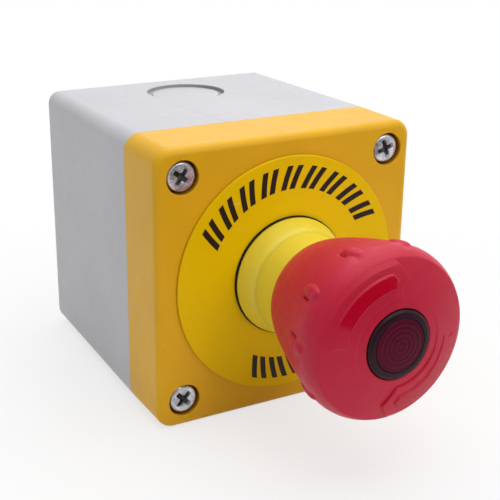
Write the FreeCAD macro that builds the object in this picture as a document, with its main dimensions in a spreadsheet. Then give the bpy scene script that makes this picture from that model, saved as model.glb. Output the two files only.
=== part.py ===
"""Illuminated emergency stop station in a 70 mm square wall box.

Every piece is drawn with x to the right, y up and z out of the wall, in millimetres.
WALL_TURN then stands it up: the wall face lies at y = 0, the button points along -y, z is up.
"""
import FreeCAD, Part
import math
import os
import re

import Sketcher

Vector = FreeCAD.Vector
Placement = FreeCAD.Placement
Rotation = FreeCAD.Rotation

WALL_TURN = Placement(Vector(0, 0, 0), Rotation(Vector(1, 0, 0), 90))
BUTTON_AXIS = (Vector(0, 0, 0), Vector(0, 0, 1))
FULL_TURN = 360
WIRE_SIDES = 6

# Driving dimensions: name, size, meaning. A name that ends in _z is a distance from the wall face,
# one that ends in _h is a height above the front face of the cover.
DIMENSIONS = [
    ("box_side", 70, "width and height of the box at its seam"),
    ("box_depth", 74, "wall face to front face"),
    ("seam_z", 56.5, "seam between base and cover"),
    ("base_draft", 1.07, "draw of each base side towards the wall"),
    ("corner_r", 4.3, "corner radius of the box"),
    ("side_wall", 2.4, "side walls and back wall"),
    ("panel_thick", 2.5, "front wall"),
    ("cover_edge_r", 1.8, "rounded front edge"),
    ("back_edge", 0.7, "broken back edge"),
    ("rib_thick", 1.4, "stiffening ribs in the base"),
    ("rib_tall", 1.3, "how far the ribs stand in"),
    ("rib_place", 13, "ribs to the middle of each side"),
    ("boss_r", 5.2, "screw bosses in the base"),
    ("column_r", 5.6, "screw columns in the cover"),
    ("pilot_r", 1.8, "screw holes in the bosses"),
    ("pilot_deep", 24, "their depth"),
    ("groove_wide", 1.2, "seal groove in the rim"),
    ("groove_deep", 1.1, "its depth"),
    ("bolt_pitch_across", 38, "wall bolts, left to right"),
    ("bolt_pitch_up", 54, "wall bolts, top to bottom"),
    ("bolt_hole_r", 2.25, "wall bolt holes"),
    ("bolt_pad_r", 4.4, "raised pads round them"),
    ("bolt_pad_tall", 1.5, "their height"),
    ("knockout_r", 10.7, "cable knockout"),
    ("knockout_deep", 1.0, "its recess"),
    ("knockout_z", 17.5, "its middle"),
    ("screw_pitch", 56.2, "cover screws, both ways"),
    ("screw_head_r", 3.6, "pan head"),
    ("screw_head_tall", 2.4, "its height"),
    ("screw_head_round", 1.5, "its rounding"),
    ("screw_sink", 0.5, "head below the front face"),
    ("screw_r", 1.75, "shank"),
    ("screw_long", 26, "shank length"),
    ("screw_tip", 0.8, "chamfer of its tip"),
    ("cross_wide", 1.1, "cross recess, width of an arm"),
    ("cross_span", 4.2, "cross recess, tip to tip"),
    ("cross_deep", 1.4, "cross recess, depth"),
    ("counterbore_r", 4.1, "screw seats in the cover"),
    ("clearance_r", 1.95, "screw holes in the cover"),
    ("panel_hole_r", 11.15, "button hole"),
    ("notch_wide", 3.2, "locating notch of the button hole"),
    ("notch_top", 12.95, "its top above the axis"),
    ("legend_r", 30, "legend plate"),
    ("legend_thick", 0.8, "its thickness"),
    ("legend_edge", 0.25, "its broken edge"),
    ("gasket_r", 15.1, "panel gasket"),
    ("gasket_thick", 0.6, "its thickness"),
    ("collar_r", 14.8, "collar at the gasket"),
    ("collar_edge", 0.6, "straight edge of the collar"),
    ("collar_top_r", 13.3, "collar at its crease"),
    ("collar_h", 6.8, "crease of the collar"),
    ("sleeve_r", 12.6, "sleeve under the button"),
    ("sleeve_step", 0.5, "height of the step at the crease"),
    ("sleeve_h", 19, "front end of the sleeve"),
    ("sleeve_chamfer", 0.5, "its chamfer"),
    ("barrel_r", 11, "barrel through the cover"),
    ("barrel_z", 51, "inner end of the barrel"),
    ("bore_r", 9, "bore of collar and barrel"),
    ("key_wide", 3, "locating key of the barrel"),
    ("key_top", 12.8, "its top above the axis"),
    ("keyway_wide", 4.2, "slots for the pusher's lugs"),
    ("keyway_z", 64.6, "front end of the slots"),
    ("seal_r", 10.6, "wiper seal"),
    ("seal_thick", 2, "its thickness"),
    ("seal_h", 15, "its inner face"),
    ("nut_flats", 28, "mounting nut across flats"),
    ("nut_thick", 5, "its thickness"),
    ("nut_chamfer", 1.2, "its corner chamfer"),
    ("fit", 0.05, "running clearance"),
    ("gap", 0.3, "clearance between pieces that pass each other"),
    ("holder_wide", 33, "contact holder, across"),
    ("holder_tall", 40, "contact holder, up"),
    ("holder_z", 57.5, "back face of its clamp plate"),
    ("holder_thick", 6.5, "clamp plate"),
    ("holder_corner", 3, "its corners"),
    ("leg_wide", 21, "legs that carry the blocks"),
    ("leg_thick", 3.5, "their thickness"),
    ("clamp_screw_x", 13.2, "clamping screws beside the axis"),
    ("clamp_screw_y", 16, "clamping screws above and below it"),
    ("clamp_screw_r", 1.5, "their shank"),
    ("clamp_head_r", 2.6, "their head"),
    ("clamp_head_tall", 1.8, "its height"),
    ("stem_r", 8.92, "head stem"),
    ("stem_bore_r", 6.9, "its bore"),
    ("stem_z", 64.5, "its inner end"),
    ("stem_h", 37, "its front end"),
    ("bead_r", 7.2, "snap bead between stem and pusher"),
    ("bead_z", 67.2, "its inner face"),
    ("bead_thick", 1, "its thickness"),
    ("neck_z", 69.4, "front end of the pusher's neck"),
    ("pusher_flange_r", 8.7, "pusher flange"),
    ("pusher_flange_z", 61, "its inner face"),
    ("pusher_bore_r", 4.7, "room for the lamp"),
    ("guide_bore_r", 5.3, "room for the light guide"),
    ("cone_r", 7.6, "latch cone at the flange"),
    ("cone_slope", 0.13, "rise of the cone per length"),
    ("wing_z", 46, "inner face of the pusher's wings"),
    ("wing_thick", 3, "their thickness"),
    ("wing_reach", 15.5, "their tip"),
    ("wing_half", 5.5, "half their width"),
    ("lug_r", 10.4, "pusher lugs"),
    ("lug_wide", 4, "their width"),
    ("latch_z", 54.5, "latch pins"),
    ("latch_r", 1.5, "their radius"),
    ("latch_blunt", 0.6, "radius of their blunt nose"),
    ("latch_end_r", 10.2, "their outer end"),
    ("latch_gap", 0.1, "play on the cone"),
    ("ring_wire", 0.8, "latch ring, wire"),
    ("ring_arc", 320, "its sweep"),
    ("ring_groove", 1.3, "its groove in the barrel"),
    ("dome_h", 47.01, "top of the button before its face is cut"),
    ("wide_h", 38.37, "widest place of the button"),
    ("wide_r", 20.12, "its radius"),
    ("shoulder_in", 6.0, "shoulder ellipse, inwards"),
    ("shoulder_up", 7.15, "shoulder ellipse, forwards"),
    ("shoulder_turn", 80, "where the dome takes over"),
    ("rim_h", 15.54, "back rim of the button"),
    ("rim_r", 13.57, "its radius"),
    ("flank_power", 1.22, "fullness of the button's flank"),
    ("cavity_r", 12.9, "room for the sleeve"),
    ("web_h", 34, "bottom of that room"),
    ("guide_seat_h", 40, "seat of the light guide"),
    ("guide_seat_r", 6.5, "its radius"),
    ("bezel_seat_h", 42, "seat of the lens bezel"),
    ("bezel_seat_r", 8.15, "its radius"),
    ("face_r", 49.7, "crown radius of the face, its arrows and their pads"),
    ("face_h", 46.51, "height of the face on the axis"),
    ("band_h", 46.72, "height of the arrows on the axis"),
    ("band_tilt", 0.0295, "their rise towards the tip"),
    ("band_in_r", 10.4, "inner edge of the arrows"),
    ("band_tail_turn", -107, "clock angle where an arrow begins"),
    ("arrow_tip_r", 14.8, "arrow tip"),
    ("arrow_tip_turn", 10, "its clock angle"),
    ("arrow_barb_turn", -1, "clock angle of the barbs"),
    ("arrow_edge_r", 18.6, "outer barb"),
    ("pad_h", 46.91, "height of the pads on the axis"),
    ("pad_tilt", 0.042, "their rise towards the tip"),
    ("pad_in_r", 12.75, "pad on an arrow, inner edge"),
    ("pad_out_r", 16.2, "its outer edge"),
    ("pad_tip_turn", -1.5, "clock angle of its tip"),
    ("pad_neck_turn", -6, "where its point begins"),
    ("pad_tail_turn", -87, "its hollow end"),
    ("pad_tail_deep", 3, "depth of the hollow, in degrees"),
    ("nub_count", 10, "grip nubs"),
    ("nub_turn", 18, "clock angle of the first"),
    ("nub_r", 1.3, "their radius"),
    ("nub_low_h", 34.8, "back end of a nub"),
    ("nub_high_h", 37.6, "front end of a nub"),
    ("nub_sunk", 1.1, "their axis below the flank"),
    ("bezel_r", 8.0, "lens bezel"),
    ("bezel_bore_r", 6.25, "its opening"),
    ("bezel_lip_r", 5.6, "lip under the lens"),
    ("bezel_lip", 1, "its thickness"),
    ("bezel_h", 46.6, "its front"),
    ("bezel_chamfer", 0.3, "its chamfer"),
    ("bezel_crest_r", 7.05, "where its front starts to slope in to the lens"),
    ("bezel_inner_h", 46.15, "its front at the lens"),
    ("lens_r", 6.15, "lens"),
    ("lens_edge_h", 46.2, "its edge"),
    ("lens_crown", 0.6, "its crown"),
    ("guide_r", 5, "light guide"),
    ("guide_flange_r", 6.3, "its flange"),
    ("guide_z", 62, "its inner end"),
    ("coil_runs", 16, "straight runs in one turn of a spring"),
    ("spring_r", 10.8, "return spring"),
    ("spring_wire_r", 0.55, "its wire"),
    ("spring_pitch", 3.45, "its pitch"),
    ("block_wide", 10.6, "contact and lamp blocks, across"),
    ("block_pitch", 11, "block to block"),
    ("block_tall", 42, "blocks, up"),
    ("block_back_z", 13, "back of the blocks"),
    ("block_front_z", 41, "front of the blocks"),
    ("block_edge", 0.8, "their rounded corners"),
    ("chamber_wide", 7.8, "contact chamber, across"),
    ("chamber_tall", 25, "contact chamber, up"),
    ("chamber_z", 36, "front of the contact chamber"),
    ("back_thick", 2, "back plate of a contact block"),
    ("pocket_wide", 7, "terminal pocket, across"),
    ("pocket_low", 13.5, "terminal pocket, inner side"),
    ("pocket_high", 20, "terminal pocket, outer side"),
    ("pocket_z", 33, "front of the terminal pocket"),
    ("strip_wide", 5, "contact strip"),
    ("strip_thick", 0.8, "its thickness"),
    ("strip_tip", 5, "its inner end"),
    ("strip_riser", 17.2, "its riser"),
    ("strip_z", 31.2, "its contact leg"),
    ("clamp_z", 20, "its terminal leg"),
    ("contact_r", 1.2, "contact button"),
    ("contact_y", 6.6, "its place"),
    ("contact_tall", 0.5, "its height"),
    ("bridge_half", 8.2, "contact bridge, half length"),
    ("bridge_wide", 4.4, "its width"),
    ("bridge_thick", 0.8, "its thickness"),
    ("plunger_r", 2.5, "contact plunger"),
    ("plunger_pin_r", 1.2, "its pin through the bridge"),
    ("plunger_pin_z", 24, "end of that pin"),
    ("contact_spring_r", 1.95, "contact spring"),
    ("contact_wire_r", 0.28, "its wire"),
    ("contact_pitch", 2.9, "its pitch"),
    ("terminal_y", 15.6, "terminal screws"),
    ("terminal_r", 1.4, "their shank"),
    ("terminal_head_r", 1.75, "their head"),
    ("terminal_head_tall", 1.8, "its height"),
    ("terminal_long", 5, "their length"),
    ("drive_slot", 0.7, "their driver slot"),
    ("lamp_socket_r", 4.4, "lamp socket"),
    ("lamp_socket_deep", 6, "its depth"),
    ("lamp_base_r", 4.3, "lamp base"),
    ("lamp_base_z", 50, "its front"),
    ("diode_r", 2.5, "diode"),
    ("diode_z", 53, "start of its dome"),
]

doc = FreeCAD.newDocument("EmergencyStop")
sheet = doc.addObject("Spreadsheet::Sheet", "Dims")
for row, (alias, size, meaning) in enumerate(DIMENSIONS, start=1):
    sheet.set(f"A{row}", meaning)
    sheet.set(f"B{row}", str(size))
    sheet.setAlias(f"B{row}", alias)
doc.recompute()

nodes = []


def expand(expression):
    """Write a formula of sheet names as an expression of the document."""
    return re.sub(r"\b[a-z][a-z_]*\b(?!\s*\()", r"Dims.\g<0>", expression)


def size_of(expression):
    """The number that a formula of sheet names gives."""
    result = sheet.evalExpression(expand(expression))
    return float(getattr(result, "Value", result))


def bind(target, prop, expression):
    target.setExpression(prop, expand(expression))


def place_node(node, move=Placement()):
    """Stand a finished piece up on the wall and keep it for export."""
    node.Placement = WALL_TURN.multiply(move)
    nodes.append(node)
    return node


def new_body(name, move=Placement()):
    return place_node(doc.addObject("PartDesign::Body", name), move)


def new_sketch(body, role="XY_Plane", height="0"):
    """A sketch on one of the body's own planes, lifted along that plane's normal."""
    sketch = body.newObject("Sketcher::SketchObject", body.Label + "_sketch")
    plane = next(item for item in body.Origin.OriginFeatures if item.Role == role)
    sketch.AttachmentSupport = [(plane, "")]
    sketch.MapMode = "FlatFace"
    bind(sketch, "AttachmentOffset.Base.z", height)
    return sketch


def hold(sketch, edge, end, x, y):
    """Hold one point of a sketch at x and y, both bound to the sheet."""
    for kind, expression in (("DistanceX", x), ("DistanceY", y)):
        rule = Sketcher.Constraint(kind, -1, 1, edge, end, size_of(expression))
        bind(sketch, f"Constraints[{sketch.addConstraint(rule)}]", expression)


def draw_loop(sketch, points):
    """A closed outline of straight edges through points given as formulas."""
    spots = [Vector(size_of(x), size_of(y), 0) for x, y in points]
    edges = [
        sketch.addGeometry(Part.LineSegment(start, spots[(index + 1) % len(spots)]), False)
        for index, start in enumerate(spots)
    ]
    for index, edge in enumerate(edges):
        following = edges[(index + 1) % len(edges)]
        sketch.addConstraint(Sketcher.Constraint("Coincident", edge, 2, following, 1))
        hold(sketch, edge, 1, *points[index])
    return sketch


def draw_box(sketch, left, bottom, right, top):
    return draw_loop(sketch, [(left, bottom), (right, bottom), (right, top), (left, top)])


def draw_circle(sketch, x, y, radius):
    middle = Vector(size_of(x), size_of(y), 0)
    edge = sketch.addGeometry(Part.Circle(middle, Vector(0, 0, 1), size_of(radius)), False)
    hold(sketch, edge, 3, x, y)
    rule = Sketcher.Constraint("Radius", edge, size_of(radius))
    bind(sketch, f"Constraints[{sketch.addConstraint(rule)}]", radius)
    return sketch


def draw_circles(sketch, pitch_x, pitch_y, radius):
    """Four circles at the corners of a rectangle round the axis."""
    for side in ("", "-"):
        for rise in ("", "-"):
            draw_circle(sketch, f"{side}{pitch_x} / 2", f"{rise}{pitch_y} / 2", radius)
    return sketch


def draw_rounded_square(sketch, side, radius):
    """A square round the axis whose corners are quarter circles."""
    flat = f"(({side}) / 2)"
    bend = f"(({side}) / 2 - ({radius}))"
    bend_size = size_of(bend)
    lines = []
    for x_one, y_one, x_two, y_two in (
        (f"-{bend}", f"-{flat}", bend, f"-{flat}"),
        (flat, f"-{bend}", flat, bend),
        (bend, flat, f"-{bend}", flat),
        (f"-{flat}", bend, f"-{flat}", f"-{bend}"),
    ):
        start = Vector(size_of(x_one), size_of(y_one), 0)
        stop = Vector(size_of(x_two), size_of(y_two), 0)
        line = sketch.addGeometry(Part.LineSegment(start, stop), False)
        hold(sketch, line, 1, x_one, y_one)
        hold(sketch, line, 2, x_two, y_two)
        lines.append(line)
    for index, (side_x, side_y) in enumerate(((1, -1), (1, 1), (-1, 1), (-1, -1))):
        middle = Vector(side_x * bend_size, side_y * bend_size, 0)
        start = (index - 1) * math.pi / 2
        circle = Part.Circle(middle, Vector(0, 0, 1), size_of(radius))
        arc = sketch.addGeometry(Part.ArcOfCircle(circle, start, start + math.pi / 2), False)
        sketch.addConstraint(Sketcher.Constraint("Coincident", lines[index], 2, arc, 1))
        sketch.addConstraint(Sketcher.Constraint("Coincident", arc, 2, lines[(index + 1) % 4], 1))
        rule = Sketcher.Constraint("Radius", arc, size_of(radius))
        bind(sketch, f"Constraints[{sketch.addConstraint(rule)}]", radius)
    return sketch


def pad(body, sketch, length, symmetric=False):
    feature = body.newObject("PartDesign::Pad", body.Label + "_pad")
    feature.Profile = sketch
    feature.SideType = "Symmetric" if symmetric else "One side"
    bind(feature, "Length", length)
    return feature


def pocket(body, sketch, length, outwards=False):
    """Cut down from the sketch, or along its normal where outwards is set."""
    feature = body.newObject("PartDesign::Pocket", body.Label + "_pocket")
    feature.Profile = sketch
    feature.Reversed = outwards
    bind(feature, "Length", length)
    return feature


def turn(body, sketch, sweep=FULL_TURN):
    """Revolve a profile of radius and height about the button's axis."""
    feature = body.newObject("PartDesign::Revolution", body.Label + "_turn")
    feature.Profile = sketch
    feature.ReferenceAxis = (sketch, ["V_Axis"])
    feature.Angle = sweep
    return feature


def groove(body, points):
    """Turn a profile of radius and height out of the body."""
    sketch = draw_loop(new_sketch(body, "XZ_Plane"), points)
    feature = body.newObject("PartDesign::Groove", body.Label + "_groove")
    feature.Profile = sketch
    feature.ReferenceAxis = (sketch, ["V_Axis"])
    feature.Angle = FULL_TURN
    return feature


def turned(name, points, move=Placement()):
    """A body turned from one profile of radius and height."""
    body = new_body(name, move)
    turn(body, draw_loop(new_sketch(body, "XZ_Plane"), points))
    return body


def dress(body, kind, radius, wanted):
    """Fillet or chamfer the edges of the body's last feature that wanted() picks."""
    doc.recompute()
    base = body.Tip
    names = [f"Edge{index}" for index, edge in enumerate(base.Shape.Edges, 1) if wanted(edge)]
    feature = body.newObject(f"PartDesign::{kind}", f"{body.Label}_{kind.lower()}")
    feature.Base = (base, names)
    bind(feature, "Radius" if kind == "Fillet" else "Size", radius)
    return feature


def faces_where(feature, wanted):
    """Names of a feature's faces that wanted() picks."""
    return [f"Face{index}" for index, face in enumerate(feature.Shape.Faces, 1) if wanted(face)]


def faces_front(face):
    """Picks the flat face at the seam."""
    return face.CenterOfMass.z > size_of("seam_z") - 1e-3


def lies_at(height):
    """Picks edges that lie flat at one height."""
    level = size_of(height)
    return lambda edge: all(abs(spot.z - level) < 1e-4 for spot in (
        edge.valueAt(edge.FirstParameter),
        edge.valueAt((edge.FirstParameter + edge.LastParameter) / 2),
        edge.valueAt(edge.LastParameter),
    ))


def circle_at(height, radius):
    """Picks full circles of one radius at one height."""
    flat = lies_at(height)
    wide = size_of(radius)
    return lambda edge: (
        flat(edge) and isinstance(edge.Curve, Part.Circle) and abs(edge.Curve.Radius - wide) < 1e-4
    )


def runs_along_z(edge):
    start = edge.valueAt(edge.FirstParameter)
    stop = edge.valueAt(edge.LastParameter)
    return math.hypot(stop.x - start.x, stop.y - start.y) < 1e-6


def clock(radius, angle, height=0.0):
    """A point at a clock angle, clockwise from the top as seen from the front."""
    turn_angle = math.radians(angle)
    return Vector(radius * math.sin(turn_angle), radius * math.cos(turn_angle), height)


def group(name, piece, spots):
    """Repeat one piece at several places as one node of separate solids."""
    doc.recompute()
    nodes.remove(piece)
    pattern = piece.Shape.copy()
    pattern.Placement = Placement()
    node = doc.addObject("Part::Feature", name)
    node.Shape = Part.makeCompound([pattern.translated(Vector(*spot)) for spot in spots])
    return place_node(node)


def coil(name, radius, wire, pitch, low, high, move=Placement()):
    """A compression spring between two heights: six-sided wire along short runs of a helix."""
    runs = int(size_of("coil_runs"))
    rise = size_of(pitch) / runs
    count = round(size_of(f"({high}) - ({low}) - 2 * {wire}") / rise)
    line = doc.addObject("Part::Polygon", name + "_line")
    line.Nodes = [
        clock(size_of(radius), FULL_TURN * index / runs, index * rise) for index in range(count + 1)
    ]
    section = doc.addObject("Part::RegularPolygon", name + "_wire")
    section.Polygon = WIRE_SIDES
    bind(section, "Circumradius", wire)
    bind(section, "Placement.Base.y", radius)
    section.Placement.Rotation = Rotation(Vector(0, 1, 0), 90)
    spring = doc.addObject("Part::Sweep", name)
    spring.Sections = [section]
    spring.Spine = line
    spring.Solid = True
    spring.Transition = "Right corner"
    lift = Placement(Vector(0, 0, size_of(f"{low} + {wire}")), Rotation())
    return place_node(spring, move.multiply(lift))


def make_base_box():
    """Grey base: drafted shell with screw bosses, ribs, wall bolt holes and two knockouts."""
    body = new_body("base_box")
    pad(body, draw_rounded_square(new_sketch(body), "box_side", "corner_r"), "seam_z")
    doc.recompute()
    block = body.Tip
    draft = body.newObject("PartDesign::Draft", "base_box_draft")
    draft.Base = (block, faces_where(block, lambda face: abs(face.normalAt(0, 0).z) < 0.5))
    draft.NeutralPlane = (block, faces_where(block, faces_front))
    draft.Reversed = True
    bind(draft, "Angle", "atan(base_draft / seam_z)")
    doc.recompute()
    shell = body.newObject("PartDesign::Thickness", "base_box_shell")
    shell.Base = (draft, faces_where(draft, faces_front))
    shell.Reversed = True
    shell.Join = "Intersection"
    bind(shell, "Value", "side_wall")
    dress(body, "Chamfer", "back_edge", lies_at("0"))
    bosses = draw_circles(new_sketch(body, height="side_wall"), "screw_pitch", "screw_pitch", "boss_r")
    pad(body, bosses, "seam_z - side_wall")
    pads = draw_circles(
        new_sketch(body, height="side_wall"), "bolt_pitch_across", "bolt_pitch_up", "bolt_pad_r")
    pad(body, pads, "bolt_pad_tall")
    add_base_ribs(body)
    ring = draw_rounded_square(
        new_sketch(body, height="seam_z"), "box_side - side_wall + groove_wide",
        "corner_r - side_wall / 2 + groove_wide / 2")
    draw_rounded_square(
        ring, "box_side - side_wall - groove_wide", "corner_r - side_wall / 2 - groove_wide / 2")
    pocket(body, ring, "groove_deep")
    pilots = draw_circles(new_sketch(body, height="seam_z"), "screw_pitch", "screw_pitch", "pilot_r")
    pocket(body, pilots, "pilot_deep")
    bolts = draw_circles(
        new_sketch(body, height="side_wall + bolt_pad_tall"),
        "bolt_pitch_across", "bolt_pitch_up", "bolt_hole_r")
    pocket(body, bolts, "side_wall + bolt_pad_tall")
    recess = "box_side / 2 - base_draft * (1 - knockout_z / seam_z) - knockout_deep"
    for sign, outwards in (("-", False), ("", True)):
        disc = draw_circle(
            new_sketch(body, "XZ_Plane", f"{sign}({recess})"), "0", "knockout_z", "knockout_r")
        pocket(body, disc, "2 * knockout_deep", outwards)


def add_base_ribs(body):
    """Two upright ribs on each side wall, from the floor to just under the rim."""
    inner = "(box_side / 2 - side_wall)"
    foot = f"({inner} - base_draft)"
    length = "seam_z - side_wall - 2 * groove_deep"
    for place in ("rib_place", "-rib_place"):
        for side in ("", "-"):
            ends = (f"{side}({foot} - rib_tall)", f"{side}({inner} + side_wall / 3 - base_draft)")
            across = (f"{place} - rib_thick / 2", f"{place} + rib_thick / 2")
            draw = new_sketch(body, height="side_wall")
            draw_box(draw, ends[0], across[0], ends[1], across[1])
            pad(body, draw, length)


def make_cover():
    """Yellow cover: shallow pan with screw columns, counterbores and the button hole."""
    body = new_body("cover")
    pad(body, draw_rounded_square(new_sketch(body, height="seam_z"), "box_side", "corner_r"),
        "box_depth - seam_z")
    dress(body, "Fillet", "cover_edge_r", lies_at("box_depth"))
    hollow = draw_rounded_square(
        new_sketch(body, height="seam_z"), "box_side - 2 * side_wall", "corner_r - side_wall")
    pocket(body, hollow, "box_depth - seam_z - panel_thick", outwards=True)
    columns = draw_circles(new_sketch(body, height="seam_z"), "screw_pitch", "screw_pitch", "column_r")
    pad(body, columns, "box_depth - seam_z - panel_thick / 2")
    seats = draw_circles(
        new_sketch(body, height="box_depth"), "screw_pitch", "screw_pitch", "counterbore_r")
    pocket(body, seats, "screw_sink + screw_head_tall")
    holes = draw_circles(
        new_sketch(body, height="box_depth"), "screw_pitch", "screw_pitch", "clearance_r")
    pocket(body, holes, "box_depth - seam_z")
    cut_button_hole(body, "box_depth", "panel_thick")


def cut_button_hole(body, height, depth):
    """The 22 mm button hole with its locating notch."""
    pocket(body, draw_circle(new_sketch(body, height=height), "0", "0", "panel_hole_r"), depth)
    notch = draw_box(new_sketch(body, height=height), "-notch_wide / 2", "0", "notch_wide / 2", "notch_top")
    pocket(body, notch, depth)


def make_cover_gasket():
    """Rubber cord that fills the groove in the rim of the base."""
    body = new_body("cover_gasket")
    ring = draw_rounded_square(
        new_sketch(body, height="seam_z - groove_deep"), "box_side - side_wall + groove_wide - 2 * fit",
        "corner_r - side_wall / 2 + groove_wide / 2 - fit")
    draw_rounded_square(
        ring, "box_side - side_wall - groove_wide + 2 * fit",
        "corner_r - side_wall / 2 - groove_wide / 2 + fit")
    pad(body, ring, "groove_deep")


def make_cover_screws():
    """Four pan head screws with a cross recess."""
    top = "box_depth - screw_sink"
    seat = f"{top} - screw_head_tall"
    end = f"{seat} - screw_long"
    body = turned("cover_screw", [
        ("0", top), ("screw_head_r - screw_head_round", top),
        ("screw_head_r - 0.3 * screw_head_round", f"{top} - 0.3 * screw_head_round"),
        ("screw_head_r", f"{top} - screw_head_round"), ("screw_head_r", seat), ("screw_r", seat),
        ("screw_r", f"{end} + screw_tip"), ("screw_r - screw_tip", end), ("0", end)])
    for wide, tall in (("cross_span", "cross_wide"), ("cross_wide", "cross_span")):
        arm = draw_box(
            new_sketch(body, height=top), f"-{wide} / 2", f"-{tall} / 2", f"{wide} / 2", f"{tall} / 2")
        pocket(body, arm, "cross_deep")
    half = size_of("screw_pitch / 2")
    group("cover_screws", body, [(x, y, 0) for x in (-half, half) for y in (-half, half)])


def make_legend_plate():
    """Round yellow plate under the collar."""
    top = "box_depth + legend_thick"
    body = new_body("legend_plate")
    pad(body, draw_circle(new_sketch(body, height="box_depth"), "0", "0", "legend_r"), "legend_thick")
    dress(body, "Chamfer", "legend_edge", circle_at(top, "legend_r"))
    cut_button_hole(body, top, "legend_thick")


def make_panel_gasket():
    """Black rubber ring between legend plate and collar."""
    low = "box_depth + legend_thick"
    high = f"{low} + gasket_thick"
    bore = "notch_top + gap"
    turned("panel_gasket", [(bore, low), ("gasket_r", low), ("gasket_r", high), (bore, high)])


def make_actuator_collar():
    """Yellow collar, sleeve and barrel in one, with keyways, latch pin holes and a ring groove."""
    seat = "box_depth + legend_thick + gasket_thick"
    crease = "box_depth + collar_h"
    front = "box_depth + sleeve_h"
    body = turned("actuator_collar", [
        ("bore_r", "barrel_z"), ("barrel_r", "barrel_z"), ("barrel_r", seat), ("collar_r", seat),
        ("collar_r", f"{seat} + collar_edge"), ("collar_top_r", crease),
        ("sleeve_r", f"{crease} + sleeve_step"), ("sleeve_r", f"{front} - sleeve_chamfer"),
        ("sleeve_r - sleeve_chamfer", front), ("bore_r", front)])
    key = draw_box(
        new_sketch(body, height="box_depth - panel_thick"),
        "-key_wide / 2", "barrel_r - side_wall / 2", "key_wide / 2", "key_top")
    pad(body, key, "panel_thick + legend_thick + gasket_thick")
    seal = "box_depth + seal_h"
    groove(body, [
        ("bore_r - fit", seal), ("seal_r", seal),
        ("seal_r", f"{seal} + seal_thick"), ("bore_r - fit", f"{seal} + seal_thick")])
    groove(body, [
        ("latch_end_r - 2 * latch_gap", "latch_z - ring_groove / 2"),
        ("barrel_r + gap", "latch_z - ring_groove / 2"),
        ("barrel_r + gap", "latch_z + ring_groove / 2"),
        ("latch_end_r - 2 * latch_gap", "latch_z + ring_groove / 2")])
    slots = draw_box(
        new_sketch(body, height="keyway_z"),
        "-barrel_r - gap", "-keyway_wide / 2", "barrel_r + gap", "keyway_wide / 2")
    pocket(body, slots, "keyway_z - barrel_z")
    holes = draw_circle(
        new_sketch(body, "XZ_Plane", "barrel_r + gap"), "0", "latch_z", "latch_r + fit")
    pocket(body, holes, "2 * (barrel_r + gap)")


def make_wiper_seal():
    """Rubber wiper that keeps dirt out of the bore."""
    low = "box_depth + seal_h"
    high = f"{low} + seal_thick"
    edge = "seal_r - fit"
    turned("wiper_seal", [("bore_r", low), (edge, low), (edge, high), ("bore_r", high)])


def make_mounting_nut():
    """Hexagon nut that clamps the collar from inside the cover."""
    top = "box_depth - panel_thick"
    low = f"{top} - nut_thick"
    body = new_body("mounting_nut")
    corners = [
        (f"nut_flats / sqrt(3) * cos({60 * index})", f"nut_flats / sqrt(3) * sin({60 * index})")
        for index in range(6)
    ]
    pad(body, draw_loop(new_sketch(body, height=low), corners), "nut_thick")
    pocket(body, draw_circle(new_sketch(body, height=top), "0", "0", "barrel_r + fit"), "nut_thick")
    rim = "nut_flats / sqrt(3) + gap"
    groove(body, [
        (rim, low), (rim, f"{low} + nut_chamfer"), ("nut_flats / 2", low)])


def make_contact_holder():
    """Clamp plate on the barrel with two legs that carry the three blocks."""
    body = new_body("contact_holder")
    half_x = "holder_wide / 2"
    half_y = "holder_tall / 2"
    plate = draw_box(
        new_sketch(body, height="holder_z"), f"-{half_x}", f"-{half_y}", half_x, half_y)
    pad(body, plate, "holder_thick")
    dress(body, "Fillet", "holder_corner", runs_along_z)
    for low, high in ((f"{half_y} - leg_thick", half_y), (f"-{half_y}", f"leg_thick - {half_y}")):
        leg = draw_box(new_sketch(body, height="block_front_z"), "-leg_wide / 2", low, "leg_wide / 2", high)
        pad(body, leg, "holder_z - block_front_z")
    top = "holder_z + holder_thick"
    pocket(body, draw_circle(new_sketch(body, height=top), "0", "0", "barrel_r + fit"), "holder_thick")
    holes = new_sketch(body, height=top)
    draw_circle(holes, "clamp_screw_x", "clamp_screw_y", "clamp_screw_r + fit")
    draw_circle(holes, "-clamp_screw_x", "-clamp_screw_y", "clamp_screw_r + fit")
    pocket(body, holes, "holder_thick")


def make_holder_screws():
    """Two screws that press the holder off the cover and so lock it on the barrel."""
    high = "box_depth - panel_thick"
    seat = "holder_z"
    low = f"{seat} - clamp_head_tall"
    body = turned("holder_screw", [
        ("0", low), ("clamp_head_r", low), ("clamp_head_r", seat), ("clamp_screw_r", seat),
        ("clamp_screw_r", high), ("0", high)])
    slot = draw_box(
        new_sketch(body, height=low), "-clamp_head_r", "-drive_slot / 2", "clamp_head_r", "drive_slot / 2")
    pocket(body, slot, "clamp_head_tall / 2", outwards=True)
    x = size_of("clamp_screw_x")
    y = size_of("clamp_screw_y")
    group("holder_screws", body, [(x, y, 0), (-x, -y, 0)])


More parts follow.
